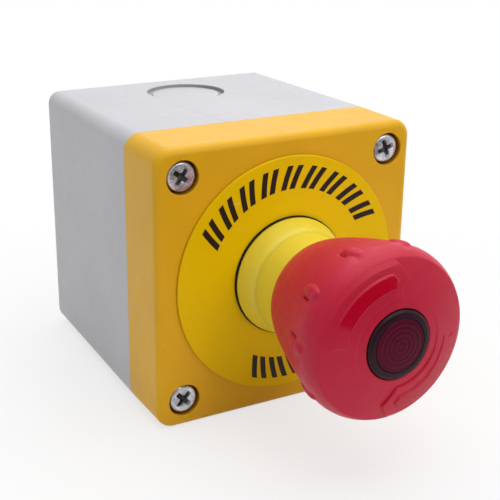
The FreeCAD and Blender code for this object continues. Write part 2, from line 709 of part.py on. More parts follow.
def make_pusher():
    """Pusher: snap neck for the stem, latch cone, two lugs and two wings over the contacts."""
    flange_top = "stem_z - 2 * fit"
    wing_top = "wing_z + wing_thick"
    cone_foot = "cone_r - cone_slope * (pusher_flange_z - wing_z - wing_thick)"
    neck = "stem_bore_r - fit"
    body = new_body("pusher")
    wings = draw_box(
        new_sketch(body, height="wing_z"), "-wing_reach", "-wing_half", "wing_reach", "wing_half")
    pad(body, wings, "wing_thick")
    dress(body, "Fillet", "wing_half / 2", runs_along_z)
    turn(body, draw_loop(new_sketch(body, "XZ_Plane"), [
        ("0", "wing_z"), (cone_foot, "wing_z"), (cone_foot, wing_top),
        ("cone_r", "pusher_flange_z"), ("pusher_flange_r", "pusher_flange_z"),
        ("pusher_flange_r", flange_top), (neck, flange_top), (neck, "bead_z"),
        ("bead_r", "bead_z"), (neck, "bead_z + bead_thick"), (neck, "neck_z"), ("0", "neck_z")]))
    lugs = draw_box(
        new_sketch(body, height="pusher_flange_z"), "-lug_r", "-lug_wide / 2", "lug_r", "lug_wide / 2")
    pad(body, lugs, "stem_z - pusher_flange_z - 2 * fit")
    lamp_room = draw_circle(new_sketch(body, height="neck_z"), "0", "0", "pusher_bore_r")
    pocket(body, lamp_room, "neck_z - wing_z")
    guide_room = draw_circle(new_sketch(body, height="neck_z"), "0", "0", "guide_bore_r")
    pocket(body, guide_room, "neck_z - pusher_flange_z")


def make_latch_pins():
    """Two blunt-nosed pins in the barrel that ride on the pusher's cone."""
    cone = "cone_r - cone_slope * (pusher_flange_z - latch_z - latch_blunt)"
    nose = f"{cone} + latch_gap"
    lift = Placement(Vector(0, 0, size_of("latch_z")), Rotation())
    for name, angle in (("latch_pin_upper", -90), ("latch_pin_lower", 90)):
        outwards = Placement(Vector(0, 0, 0), Rotation(Vector(1, 0, 0), angle))
        turned(name, [
            ("0", nose), ("latch_blunt", nose), ("latch_r", f"{nose} + latch_r - latch_blunt"),
            ("latch_r", "latch_end_r"), ("0", "latch_end_r")], lift.multiply(outwards))


def make_latch_ring():
    """Open ring of square wire in the barrel's groove that presses both pins inwards."""
    body = new_body("latch_ring")
    inner = "latch_end_r + gap / 2"
    wire = draw_box(
        new_sketch(body, "XZ_Plane"), inner, "latch_z - ring_wire / 2",
        f"{inner} + ring_wire", "latch_z + ring_wire / 2")
    turn(body, wire, size_of("ring_arc"))


def bell_solid():
    """The button as a bell: crowned front, elliptic shoulder, flank that draws in to the rim."""
    base = size_of("box_depth")
    wide_r = size_of("wide_r")
    wide_h = size_of("wide_h")
    inwards = size_of("shoulder_in")
    forwards = size_of("shoulder_up")
    rim_r = size_of("rim_r")
    rim_h = size_of("rim_h")
    power = 2 / size_of("flank_power")
    dome_h = size_of("dome_h")

    def shoulder(angle):
        bend = math.radians(angle)
        return Vector(
            wide_r - inwards * (1 - math.cos(bend)), 0, base + wide_h + forwards * math.sin(bend))

    def flank(angle):
        bend = math.radians(angle)
        draw = math.cos(bend) ** power if angle < 90 else 0
        return Vector(
            rim_r + (wide_r - rim_r) * draw, 0, base + wide_h - (wide_h - rim_h) * math.sin(bend) ** power)

    join = size_of("shoulder_turn")
    crown_end = shoulder(join)
    drop = base + dome_h - crown_end.z
    crown_mid = Vector(crown_end.x / 2, 0, base + dome_h - drop / 4)
    crown = Part.Arc(Vector(0, 0, base + dome_h), crown_mid, crown_end).toShape()
    half_join = join / 2
    half_flank = 50
    curves = [
        Part.Arc(*[outline(angle) for angle in turns]).toShape()
        for outline, turns in (
            (shoulder, (join, 1.5 * half_join, half_join)),
            (shoulder, (half_join, half_join / 2, 0)),
            (flank, (0, half_flank / 2, half_flank)),
            (flank, (half_flank, (half_flank + 90) / 2, 90)),
        )
    ]
    inner = [(radius, base + height) for radius, height in (
        (rim_r, rim_h),
        (size_of("cavity_r"), rim_h),
        (size_of("cavity_r"), size_of("web_h")),
        (size_of("stem_r + fit"), size_of("web_h")),
        (size_of("stem_r + fit"), size_of("stem_h")),
        (size_of("guide_bore_r"), size_of("stem_h")),
        (size_of("guide_bore_r"), size_of("guide_seat_h")),
        (size_of("guide_seat_r"), size_of("guide_seat_h")),
        (size_of("guide_seat_r"), size_of("bezel_seat_h")),
        (size_of("bezel_seat_r"), size_of("bezel_seat_h")),
        (size_of("bezel_seat_r"), dome_h + 1),
        (0, dome_h + 1),
    )]
    walls = [Vector(radius, 0, height) for radius, height in inner]
    profile = Part.Wire([crown, *curves, Part.makeLine(walls[0], Vector(0, 0, walls[0].z)),
                         Part.makeLine(Vector(0, 0, walls[0].z), crown.Vertexes[0].Point)])
    bell = Part.Face(profile).revolve(*BUTTON_AXIS, FULL_TURN)
    foot = Vector(0, 0, walls[0].z)
    hollow = Part.Face(Part.makePolygon([foot, *walls[1:], foot]))
    return bell.cut(hollow.revolve(*BUTTON_AXIS, FULL_TURN))


def crown_ball(radius, height, lean=Vector(0, 0, 0)):
    """A ball whose top lies at a height above the cover, leaned aside for a sloping crown."""
    middle = Vector(0, 0, size_of("box_depth") + height - radius)
    return Part.makeSphere(radius, middle + lean)


def column(outline):
    """A tall prism on a closed outline, through the front of the button."""
    face = Part.Face(outline)
    face.translate(Vector(0, 0, size_of("box_depth + wide_h")))
    return face.extrude(Vector(0, 0, size_of("dome_h - wide_h") + 1))


def face_ball(height, tilt=0, turn=0):
    """The ball that one level of the face lies on, leaned so that it rises towards a clock angle."""
    radius = size_of("face_r")
    return crown_ball(radius, size_of(height), clock(radius * tilt, turn))


def arrow_edge():
    """Inner barb, tip, outer barb and the end of the radial edge behind it, for one arrow."""
    barb = size_of("arrow_barb_turn")
    return [
        clock(size_of("band_in_r"), barb), clock(size_of("arrow_tip_r"), size_of("arrow_tip_turn")),
        clock(size_of("arrow_edge_r"), barb), clock(size_of("wide_r") + 1, barb)]


def ring_sector(start, edge, stop):
    """Outline between an arrow's front edge and a radial line, from start to stop round the face."""
    inner_r = size_of("band_in_r")
    reach = size_of("wide_r") + 1
    half = (start + stop) / 2
    return Part.Wire([
        *[Part.makeLine(*ends) for ends in zip(edge, edge[1:])],
        Part.Arc(edge[-1], clock(reach, half), clock(reach, stop)).toShape(),
        Part.makeLine(clock(reach, stop), clock(inner_r, stop)),
        Part.Arc(clock(inner_r, stop), clock(inner_r, half), edge[0]).toShape(),
    ])


def pad_outline():
    """The curved pad on one arrow: pointed front, hollow tail."""
    inner_r = size_of("pad_in_r")
    outer_r = size_of("pad_out_r")
    middle_r = (inner_r + outer_r) / 2
    neck = size_of("pad_neck_turn")
    tail = size_of("pad_tail_turn")
    half = (neck + tail) / 2
    tip = clock(middle_r, size_of("pad_tip_turn"))
    hollow = clock(middle_r, tail + size_of("pad_tail_deep"))
    return Part.Wire([
        Part.makeLine(clock(inner_r, neck), tip),
        Part.makeLine(tip, clock(outer_r, neck)),
        Part.Arc(clock(outer_r, neck), clock(outer_r, half), clock(outer_r, tail)).toShape(),
        Part.Arc(clock(outer_r, tail), hollow, clock(inner_r, tail)).toShape(),
        Part.Arc(clock(inner_r, tail), clock(inner_r, half), clock(inner_r, neck)).toShape(),
    ])


def arrow_cuts():
    """What is cut away for one arrow: down to its pad, down to its band, and down to the face ahead."""
    barb = size_of("arrow_barb_turn")
    tail = size_of("band_tail_turn")
    tip = size_of("arrow_tip_turn")
    pad_column = column(pad_outline())
    band_column = column(ring_sector(barb, arrow_edge(), tail)).cut(pad_column)
    ahead_column = column(ring_sector(barb, arrow_edge(), tail + FULL_TURN / 2))
    return [
        pad_column.cut(face_ball("pad_h", size_of("pad_tilt"), tip)),
        band_column.cut(face_ball("band_h", size_of("band_tilt"), tip)),
        ahead_column.cut(face_ball("face_h")),
    ]


def grip_nub(angle):
    """A rib with tapered ends that stands out of the widest part of the button, at a clock angle."""
    radius = size_of("nub_r")
    length = size_of("nub_high_h - nub_low_h")
    profile = Part.makePolygon([
        Vector(0, 0, -radius), Vector(-radius, 0, 0), Vector(-radius, 0, length),
        Vector(0, 0, length + radius), Vector(0, 0, -radius)])
    nub = Part.Face(profile).revolve(*BUTTON_AXIS, FULL_TURN)
    nub.translate(Vector(size_of("wide_r - nub_sunk"), 0, size_of("box_depth + nub_low_h")))
    return nub.rotated(*BUTTON_AXIS, 90 - angle)


def make_mushroom_head():
    """Red button: bell with ten nubs, two arrow reliefs and a stepped bore for lens and stem."""
    count = int(size_of("nub_count"))
    pitch = FULL_TURN / count
    nubs = [grip_nub(size_of("nub_turn") + pitch * index) for index in range(count)]
    disc = Part.Wire(Part.makeCircle(size_of("band_in_r")))
    cuts = [column(disc).cut(face_ball("face_h"))]
    for half_turn in (0, FULL_TURN / 2):
        cuts.extend(cut.rotated(*BUTTON_AXIS, half_turn) for cut in arrow_cuts())
    node = doc.addObject("Part::Feature", "mushroom_head")
    bell = bell_solid().rotated(*BUTTON_AXIS, pitch / 2)
    node.Shape = bell.cut(cuts).multiFuse(nubs)
    place_node(node)


def make_head_stem():
    """Hollow stem that carries the button and snaps over the pusher's neck."""
    top = "box_depth + stem_h"
    groove_r = "bead_r + 2 * latch_gap"
    turned("head_stem", [
        ("stem_bore_r", "stem_z"), ("stem_r", "stem_z"), ("stem_r", top), ("stem_bore_r", top),
        ("stem_bore_r", "bead_z + bead_thick + latch_gap"), (groove_r, "bead_z + bead_thick / 2"),
        (groove_r, "bead_z - latch_gap"), ("stem_bore_r", "bead_z - latch_gap")])


def make_lens_bezel():
    """Dark ring that holds the lens in the button, its front sloping in to the lens."""
    low = "box_depth + bezel_seat_h"
    top = "box_depth + bezel_h"
    turned("lens_bezel", [
        ("bezel_lip_r", low), ("bezel_r", low), ("bezel_r", f"{top} - bezel_chamfer"),
        ("bezel_r - bezel_chamfer", top), ("bezel_crest_r", top),
        ("bezel_bore_r", "box_depth + bezel_inner_h"),
        ("bezel_bore_r", f"{low} + bezel_lip"), ("bezel_lip_r", f"{low} + bezel_lip")])


def make_lens():
    """Translucent red lens whose front rises in shallow rings."""
    low = "box_depth + bezel_seat_h + bezel_lip"
    edge = "box_depth + lens_edge_h"
    turned("lens", [
        ("0", low), ("lens_r", low), ("lens_r", edge), ("lens_r / 2", f"{edge} + 0.75 * lens_crown"),
        ("0", f"{edge} + lens_crown")])


def make_light_guide():
    """Clear rod that leads the lamp's light to the lens."""
    seat = "box_depth + guide_seat_h"
    top = "box_depth + bezel_seat_h"
    turned("light_guide", [
        ("0", "guide_z"), ("guide_r", "guide_z"), ("guide_r", seat), ("guide_flange_r", seat),
        ("guide_flange_r", top), ("0", top)])


def make_contact_block(side, x):
    """One normally closed contact block, shut at rest and opened by the pusher."""
    move = Placement(Vector(x, 0, 0), Rotation())
    make_block_housing(side, move)
    make_block_back(side, move)
    make_plunger(side, move)
    make_bridge(side, move)
    coil(
        f"contact_spring_{side}", "contact_spring_r", "contact_wire_r", "contact_pitch",
        "block_back_z + back_thick + fit", "strip_z - contact_tall - bridge_thick - 2 * fit", move)
    make_contact_strips(side, move)
    make_terminal_screws(f"terminal_screws_{side}", x)


def block_shell(name, move):
    """The outside of a block, with its two terminal pockets open to the back."""
    body = new_body(name, move)
    outline = draw_box(
        new_sketch(body, height="block_back_z"),
        "-block_wide / 2", "-block_tall / 2", "block_wide / 2", "block_tall / 2")
    pad(body, outline, "block_front_z - block_back_z")
    dress(body, "Fillet", "block_edge", runs_along_z)
    for low, high in (("pocket_low", "pocket_high"), ("-pocket_high", "-pocket_low")):
        mouth = draw_box(
            new_sketch(body, height="pocket_z"), "-pocket_wide / 2", low, "pocket_wide / 2", high)
        pocket(body, mouth, "pocket_z - block_back_z")
    return body


def make_block_housing(side, move):
    body = block_shell(f"contact_block_{side}", move)
    chamber = draw_box(
        new_sketch(body, height="chamber_z"),
        "-chamber_wide / 2", "-chamber_tall / 2", "chamber_wide / 2", "chamber_tall / 2")
    pocket(body, chamber, "chamber_z - block_back_z")
    slot = draw_box(
        new_sketch(body, height="strip_z + strip_thick + fit"),
        "-strip_wide / 2 - fit", "-pocket_low - fit", "strip_wide / 2 + fit", "pocket_low + fit")
    pocket(body, slot, "strip_thick + 2 * fit")
    mouth = draw_circle(new_sketch(body, height="block_front_z"), "0", "0", "plunger_r + fit")
    pocket(body, mouth, "block_front_z - chamber_z")


def make_block_back(side, move):
    """Snap-in plate that closes the contact chamber and seats the spring."""
    body = new_body(f"block_back_{side}", move)
    outline = draw_box(
        new_sketch(body, height="block_back_z"),
        "fit - chamber_wide / 2", "fit - chamber_tall / 2",
        "chamber_wide / 2 - fit", "chamber_tall / 2 - fit")
    pad(body, outline, "back_thick")


def make_plunger(side, move):
    """Plunger with a blunt nose under the pusher's wing and a pin through the bridge."""
    nose = "wing_z - fit"
    shoulder = "strip_z - contact_tall - fit"
    turned(f"contact_plunger_{side}", [
        ("0", "plunger_pin_z"), ("plunger_pin_r", "plunger_pin_z"), ("plunger_pin_r", shoulder),
        ("plunger_r", shoulder), ("plunger_r", f"{nose} - plunger_r / 2"), ("plunger_r / 2", nose),
        ("0", nose)], move)


def make_bridge(side, move):
    """Flat bridge that joins the two fixed contacts at rest."""
    low = "strip_z - contact_tall - bridge_thick - fit"
    body = new_body(f"contact_bridge_{side}", move)
    outline = draw_box(
        new_sketch(body, height=low), "-bridge_wide / 2", "-bridge_half", "bridge_wide / 2", "bridge_half")
    pad(body, outline, "bridge_thick")
    hole = draw_circle(
        new_sketch(body, height=f"{low} + bridge_thick"), "0", "0", "plunger_pin_r + fit")
    pocket(body, hole, "bridge_thick")


def strip_outline(sketch, sign, tip):
    """A bent strip seen from the side: contact leg, riser and terminal leg."""
    top = "strip_z + strip_thick"
    outer = "strip_riser + strip_thick"
    draw_loop(sketch, [
        (f"{sign}({tip})", "strip_z"), (f"{sign}strip_riser", "strip_z"),
        (f"{sign}strip_riser", "clamp_z + strip_thick"),
        (f"{sign}(pocket_low + gap)", "clamp_z + strip_thick"), (f"{sign}(pocket_low + gap)", "clamp_z"),
        (f"{sign}({outer})", "clamp_z"), (f"{sign}({outer})", top), (f"{sign}({tip})", top)])
    return sketch


def make_strips(name, tip, move=Placement()):
    """A pair of bent terminal strips with a hole for each terminal screw."""
    body = new_body(name, move)
    for sign in ("", "-"):
        pad(body, strip_outline(new_sketch(body, "YZ_Plane"), sign, tip), "strip_wide", symmetric=True)
        hole = draw_circle(
            new_sketch(body, height="clamp_z + strip_thick"),
            "0", f"{sign}terminal_y", "terminal_r + fit")
        pocket(body, hole, "strip_thick")
    return body


def make_contact_strips(side, move):
    """Fixed contacts: the two strips with a contact button at each inner end."""
    body = make_strips(f"contact_strips_{side}", "strip_tip", move)
    for sign in ("", "-"):
        button = draw_circle(
            new_sketch(body, height="strip_z - contact_tall"), "0", f"{sign}contact_y", "contact_r")
        pad(body, button, "contact_tall")


def make_terminal_screws(name, x):
    """Two slotted screws that clamp the wires on a block's strips."""
    seat = "clamp_z"
    low = f"{seat} - terminal_head_tall"
    high = f"{seat} + terminal_long"
    body = turned(name + "_one", [
        ("0", low), ("terminal_head_r", low), ("terminal_head_r", seat), ("terminal_r", seat),
        ("terminal_r", high), ("0", high)])
    slot = draw_box(
        new_sketch(body, height=low),
        "-terminal_head_r", "-drive_slot / 2", "terminal_head_r", "drive_slot / 2")
    pocket(body, slot, "terminal_head_tall / 2", outwards=True)
    y = size_of("terminal_y")
    group(name, body, [(x, y, 0), (x, -y, 0)])


def make_lamp_block():
    """Middle block with its terminals and the lamp that shines into the light guide."""
    body = block_shell("lamp_block", Placement())
    socket = draw_circle(new_sketch(body, height="block_front_z"), "0", "0", "lamp_socket_r")
    pocket(body, socket, "lamp_socket_deep")
    make_strips("lamp_strips", "pocket_low + gap")
    make_terminal_screws("lamp_screws", 0)
    foot = "block_front_z - lamp_socket_deep"
    turned("led_lamp", [
        ("0", foot), ("lamp_base_r", foot), ("lamp_base_r", "lamp_base_z"), ("diode_r", "lamp_base_z"),
        ("diode_r", "diode_z"), ("0.7 * diode_r", "diode_z + 0.7 * diode_r"),
        ("0", "diode_z + diode_r")])


def failed_features():
    """Objects in error, and cuts that took nothing away."""
    broken = [item.Label for item in doc.Objects if {"Invalid", "Error"} & set(item.State)]
    for item in doc.Objects:
        if item.TypeId in ("PartDesign::Pocket", "PartDesign::Groove"):
            if item.Shape.Volume > item.BaseFeature.Shape.Volume - 1e-3:
                broken.append(item.Label + " cuts nothing")
    for node in nodes:
        if node.Shape.isNull() or not node.Shape.isValid():
            broken.append(node.Label + " has no valid shape")
    return broken


def export_nodes():
    os.makedirs("parts", exist_ok=True)
    for node in nodes:
        node.Shape.exportStep(f"parts/{node.Label}.step")
    print(len(nodes), "pieces written")


make_base_box()
make_cover()
make_cover_gasket()
make_cover_screws()
make_legend_plate()
make_panel_gasket()
make_actuator_collar()
make_wiper_seal()
make_mounting_nut()
make_contact_holder()
make_holder_screws()
make_pusher()
make_latch_pins()
make_latch_ring()
make_mushroom_head()
make_head_stem()
make_lens_bezel()
make_lens()
make_light_guide()
coil("return_spring", "spring_r", "spring_wire_r", "spring_pitch",
     "box_depth + sleeve_h + fit", "box_depth + web_h - fit")
make_contact_block("left", -size_of("block_pitch"))
make_contact_block("right", size_of("block_pitch"))
make_lamp_block()
doc.recompute()

problems = failed_features()
if problems:
    raise SystemExit("failed: " + ", ".join(problems))
export_nodes()
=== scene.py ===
# %% [markdown]
# # Portrait of an emergency stop station
# This lesson dresses a measured model of a wall-mounted stop button. The measured model gives every
# size and every moving body. Here the visible pieces get their fine shape and their finish.
# Everything is built from formulas, in the same place as the measured piece that it stands for.

# %% Load the measured model
import math

import bmesh
import bpy
import numpy as np
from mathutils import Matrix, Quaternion, Vector


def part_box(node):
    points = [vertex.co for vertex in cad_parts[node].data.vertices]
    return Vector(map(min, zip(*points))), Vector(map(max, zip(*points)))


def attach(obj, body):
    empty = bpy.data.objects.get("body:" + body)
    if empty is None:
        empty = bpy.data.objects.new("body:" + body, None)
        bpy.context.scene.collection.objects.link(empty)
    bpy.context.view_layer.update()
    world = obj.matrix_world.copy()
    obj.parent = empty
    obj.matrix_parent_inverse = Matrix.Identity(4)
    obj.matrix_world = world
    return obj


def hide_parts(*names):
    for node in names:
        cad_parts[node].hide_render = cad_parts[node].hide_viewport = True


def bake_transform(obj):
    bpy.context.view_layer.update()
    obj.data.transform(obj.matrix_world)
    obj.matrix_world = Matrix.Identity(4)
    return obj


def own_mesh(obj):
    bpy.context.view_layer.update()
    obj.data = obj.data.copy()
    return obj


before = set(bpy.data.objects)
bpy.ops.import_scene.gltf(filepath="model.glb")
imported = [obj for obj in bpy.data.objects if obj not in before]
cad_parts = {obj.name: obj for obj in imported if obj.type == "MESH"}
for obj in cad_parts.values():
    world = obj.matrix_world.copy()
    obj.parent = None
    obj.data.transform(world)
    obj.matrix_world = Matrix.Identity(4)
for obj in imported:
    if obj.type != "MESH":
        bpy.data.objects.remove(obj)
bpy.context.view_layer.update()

MM = 0.001
FRONT = -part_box("cover")[0].y / MM
BOX_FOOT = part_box("cover")[0].z / MM
print(f"front face {FRONT:.2f} mm from the wall, box stands at {BOX_FOOT:.2f} mm")

# %% [markdown]
# ## Surfaces from grids
# A moulded or turned piece is a sheet of points laid out in rows and columns. Neighbouring points are
# joined by four-sided faces. A sheet that closes on itself both ways is a solid skin like a ring.
# The volume under the faces tells which way they point, so an inside-out skin is turned over.
# Such pieces could be modelled by hand, but a formula gives the same shape each time and is easy to change.

# %% Grids of points
def clock_point(r, h, clock):
    """Points at radius r and height h over the front face, clock degrees clockwise from the top: the
    sine of the angle gives the way to the right, its cosine the way up."""
    turn = np.radians(clock)
    r, h, turn = np.broadcast_arrays(r, h, turn)
    return np.stack([r * np.sin(turn), -(FRONT + h), r * np.cos(turn)], axis=-1)


def skin(grid, round_rows=True, round_columns=True):
    """Four-sided faces over a grid of points. A round direction joins its last line to its first."""
    rows, columns = grid.shape[:2]
    index = np.arange(rows * columns).reshape(rows, columns)
    if round_rows:
        index = np.vstack([index, index[:1]])
    if round_columns:
        index = np.hstack([index, index[:, :1]])
    faces = np.stack([index[:-1, :-1], index[1:, :-1], index[1:, 1:], index[:-1, 1:]], axis=-1)
    return grid.reshape(-1, 3), faces.reshape(-1, 4)


def outward(points, faces):
    """Faces turned so that the volume that they enclose is positive."""
    a, b, c, d = (points[faces[:, k]] - points.mean(axis=0) for k in range(4))
    volume = np.sum(a * np.cross(b, c)) + np.sum(a * np.cross(c, d))
    return faces if volume > 0 else faces[:, ::-1]


print("three o'clock at radius 10 lies at", clock_point(10, 0, 90).round(2), "mm")

# %% [markdown]
# ## From a skin to a piece
# A finished piece is one object at the origin, with its place in its mesh. It rides on a moving body and
# stands for the measured pieces that it replaces. Points that lie on each other, as at a pole, are joined.

# %% Pieces
def close_poles(mesh, apart=1e-7):
    """Joins points that lie on each other, as at the pole of a round skin."""
    work = bmesh.new()
    work.from_mesh(mesh)
    bmesh.ops.remove_doubles(work, verts=work.verts, dist=apart)
    work.to_mesh(mesh)
    work.free()


def present(made, body, finish, nodes=(), crease=40):
    """Puts an object into the scene with smooth shading, a finish and its place in the model. A piece
    without a body rides on none."""
    bpy.context.scene.collection.objects.link(made)
    made.data.shade_smooth()
    made.data.set_sharp_from_angle(angle=math.radians(crease))
    made.data.materials.append(finish)
    if body:
        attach(made, body)
    if nodes:
        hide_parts(*nodes)
    print(f"{made.name}: {len(made.data.polygons)} faces on {body or 'two bodies'}")
    return made


def piece(name, parts, body, finish, nodes=(), crease=40, masks={}):
    """One object from closed skins in millimetres. Masks are values that its points carry."""
    starts = np.cumsum([0] + [len(points) for points, _ in parts])
    points = np.vstack([points for points, _ in parts])
    faces = np.vstack([outward(*part) + start for part, start in zip(parts, starts)])
    mesh = bpy.data.meshes.new(name)
    mesh.from_pydata((points * MM).tolist(), [], faces.tolist())
    for mask, values in masks.items():
        mesh.attributes.new(mask, "FLOAT", "POINT").data.foreach_set("value", values.ravel())
    close_poles(mesh)
    return present(bpy.data.objects.new(name, mesh), body, finish, nodes, crease)


# %% [markdown]
# ## Surface effects that many finishes share
# Moulded plastic is never quite even: the tool leaves a fine grain, the colour drifts a little, and
# handling adds dust and fine scratches. Pictures of such marks would blur from nearby, so each effect
# is worked out at every place. It is made once as a node group, and each finish sets its own strength.

# %% Node helpers
def add(tree, kind, sockets={}, **settings):
    """A new node with its settings and socket values. A socket value may be another node's output."""
    made = tree.nodes.new(kind)
    for name, value in settings.items():
        setattr(made, name, value)
    for name, value in sockets.items():
        if isinstance(value, bpy.types.NodeSocket):
            tree.links.new(value, made.inputs[name])
        else:
            made.inputs[name].default_value = value
    return made


def calc(tree, operation, *values):
    """The result of arithmetic on numbers or sockets."""
    return add(tree, "ShaderNodeMath", dict(enumerate(values)), operation=operation).outputs[0]


def vector(tree, operation, *values):
    """The result of arithmetic on vectors: a number for lengths and products, else a vector."""
    made = add(tree, "ShaderNodeVectorMath", dict(enumerate(values)), operation=operation)
    return made.outputs["Value" if operation in ("LENGTH", "DISTANCE", "DOT_PRODUCT") else "Vector"]


def object_place(tree):
    """The place on the piece that is being shaded."""
    return add(tree, "ShaderNodeTexCoord").outputs["Object"]


def stretch(tree, low, high, value, to=(0.0, 1.0)):
    """Maps low to high onto a new range, cut off at both ends."""
    return add(tree, "ShaderNodeMapRange", {
        "Value": value, "From Min": low, "From Max": high, "To Min": to[0], "To Max": to[1],
    }).outputs[0]


def cloud(tree, place, scale, detail):
    """Soft clouds from 0 to 1, more of them with a higher scale."""
    noise = add(tree, "ShaderNodeTexNoise", {"Vector": place, "Scale": scale, "Detail": detail})
    return stretch(tree, 0.3, 0.7, noise.outputs["Fac"])


def new_group(name, inputs, outputs):
    """An empty node group with float sockets; gives back the group, what comes in and what goes out."""
    group = bpy.data.node_groups.new(name, "ShaderNodeTree")
    for way, sockets in (("INPUT", inputs), ("OUTPUT", outputs)):
        for socket in sockets:
            group.interface.new_socket(socket, in_out=way, socket_type="NodeSocketFloat")
    return group, group.nodes.new("NodeGroupInput").outputs, group.nodes.new("NodeGroupOutput").inputs


# %% Moulded skin
GRAIN_SCALE, DRIFT_SCALE, PATCH_SCALE, GLOSS_SPREAD = 2200, 45, 320, 0.06
skin_group, skin_in, skin_out = new_group("moulded_skin", ["Mean Roughness"], ["Grain", "Drift", "Roughness"])
place = object_place(skin_group)
skin_group.links.new(cloud(skin_group, place, GRAIN_SCALE, 2), skin_out["Grain"])
skin_group.links.new(cloud(skin_group, place, DRIFT_SCALE, 3), skin_out["Drift"])
patches = cloud(skin_group, place, PATCH_SCALE, 4)
lowest = calc(skin_group, "SUBTRACT", skin_in["Mean Roughness"], GLOSS_SPREAD)
gloss = calc(skin_group, "MULTIPLY_ADD", patches, 2 * GLOSS_SPREAD, lowest)
skin_group.links.new(gloss, skin_out["Roughness"])
print(skin_group.name, "gives", [socket.name for socket in skin_out if socket.name])

# %% Handling marks
SPECK_SCALE, SCRATCH_TURN, SCRATCH_SCALE = 330, (0.3, 0.6, 0.5), (170, 170, 2600)
marks_group, marks_in, marks_out = new_group(
    "handling_marks", ["Speck Strength", "Scratch Strength"], ["Specks", "Scratches"])
place = object_place(marks_group)
cells = add(marks_group, "ShaderNodeTexVoronoi", {"Vector": place, "Scale": SPECK_SCALE})
chosen = add(marks_group, "ShaderNodeSeparateColor", {"Color": cells.outputs["Color"]}).outputs[0]
near = stretch(marks_group, 0.10, 0.04, cells.outputs["Distance"])
rare = stretch(marks_group, 0.93, 0.95, chosen)
specks = calc(marks_group, "MULTIPLY", calc(marks_group, "MULTIPLY", near, rare), marks_in["Speck Strength"])
marks_group.links.new(specks, marks_out["Specks"])
turned = add(marks_group, "ShaderNodeMapping", {
    "Vector": place, "Rotation": SCRATCH_TURN, "Scale": SCRATCH_SCALE}).outputs[0]
lines = add(marks_group, "ShaderNodeTexNoise", {"Vector": turned, "Scale": 1, "Detail": 1})
thin = stretch(marks_group, 0.75, 0.82, lines.outputs["Fac"])
scratches = calc(marks_group, "MULTIPLY", thin, marks_in["Scratch Strength"])
marks_group.links.new(scratches, marks_out["Scratches"])
print(marks_group.name, "gives", [socket.name for socket in marks_out if socket.name])

# %% Plated metal
STREAK_SCALE, STAIN_SCALE, SMOOTHER, ROUGHER = (2600, 500, 2600), 500, 0.1, 0.12
metal_group, metal_in, metal_out = new_group(
    "plated_metal", ["Mean Roughness"], ["Streaks", "Stains", "Roughness"])
place = object_place(metal_group)
drawn = add(metal_group, "ShaderNodeMapping", {"Vector": place, "Scale": STREAK_SCALE}).outputs[0]
streaks = cloud(metal_group, drawn, 1, 3)
metal_group.links.new(streaks, metal_out["Streaks"])
metal_group.links.new(cloud(metal_group, place, STAIN_SCALE, 3), metal_out["Stains"])
lowest = calc(metal_group, "SUBTRACT", metal_in["Mean Roughness"], SMOOTHER)
gloss = calc(metal_group, "MULTIPLY_ADD", streaks, SMOOTHER + ROUGHER, lowest)
metal_group.links.new(gloss, metal_out["Roughness"])
print(metal_group.name, "gives", [socket.name for socket in metal_out if socket.name])

# %% [markdown]
# ## Finishes
# A plastic finish starts from one pigment. The drift makes it a little lighter and darker over the
# piece, patches vary the gloss, and the grain is a fine bump. Specks of dust darken it and fine
# scratches lighten it. A plated finish varies its gloss with the streaks that forming leaves behind.
# A plain colour would do from far away, but it looks like a drawing from nearby.

# %% Plastic and metal finishes
DUST, SCRATCH = (0.05, 0.045, 0.04, 1), (0.8, 0.78, 0.74, 1)


def blend_colour(tree, share, low, high):
    """Colour mix between two colours or sockets by a share."""
    mix = add(tree, "ShaderNodeMix", data_type="RGBA")
    for socket, value in zip((mix.inputs[0], mix.inputs[6], mix.inputs[7]), (share, low, high)):
        if isinstance(value, bpy.types.NodeSocket):
            tree.links.new(value, socket)
        else:
            socket.default_value = value
    return mix.outputs[2]


def tint(colour, factor):
    """A colour with its three parts scaled, opaque."""
    return tuple(min(1.0, part * factor) for part in colour) + (1.0,)


def new_finish(name):
    """A new material with its node tree and its shader."""
    made = bpy.data.materials.new(name)
    made.use_nodes = True
    return made, made.node_tree, made.node_tree.nodes["Principled BSDF"]


def dress(tree, surface, colour, rough, height, distance):
    """Links colour, roughness and a bump to the shader."""
    tree.links.new(colour, surface.inputs["Base Color"])
    tree.links.new(rough, surface.inputs["Roughness"])
    bump = add(tree, "ShaderNodeBump", {"Height": height, "Distance": distance})
    tree.links.new(bump.outputs["Normal"], surface.inputs["Normal"])


def plastic(name, colour, rough=0.45, drift=0.08, grain=0.00002, specks=0.3, scratches=0.1, **shader):
    """Moulded plastic or rubber: pigment with drift, uneven gloss, grain, dust and scratches."""
    made, tree, surface = new_finish(name)
    moulded = add(tree, "ShaderNodeGroup", {"Mean Roughness": rough}, node_tree=skin_group)
    marks = add(tree, "ShaderNodeGroup", {"Speck Strength": specks, "Scratch Strength": scratches},
                node_tree=marks_group)
    pigment = blend_colour(tree, moulded.outputs["Drift"], tint(colour, 1 - drift), tint(colour, 1 + drift))
    dusty = blend_colour(tree, marks.outputs["Specks"], pigment, DUST)
    worn = blend_colour(tree, marks.outputs["Scratches"], dusty, SCRATCH)
    dress(tree, surface, worn, moulded.outputs["Roughness"], moulded.outputs["Grain"], grain)
    for socket, value in shader.items():
        surface.inputs[socket.replace("_", " ")].default_value = value
    return made


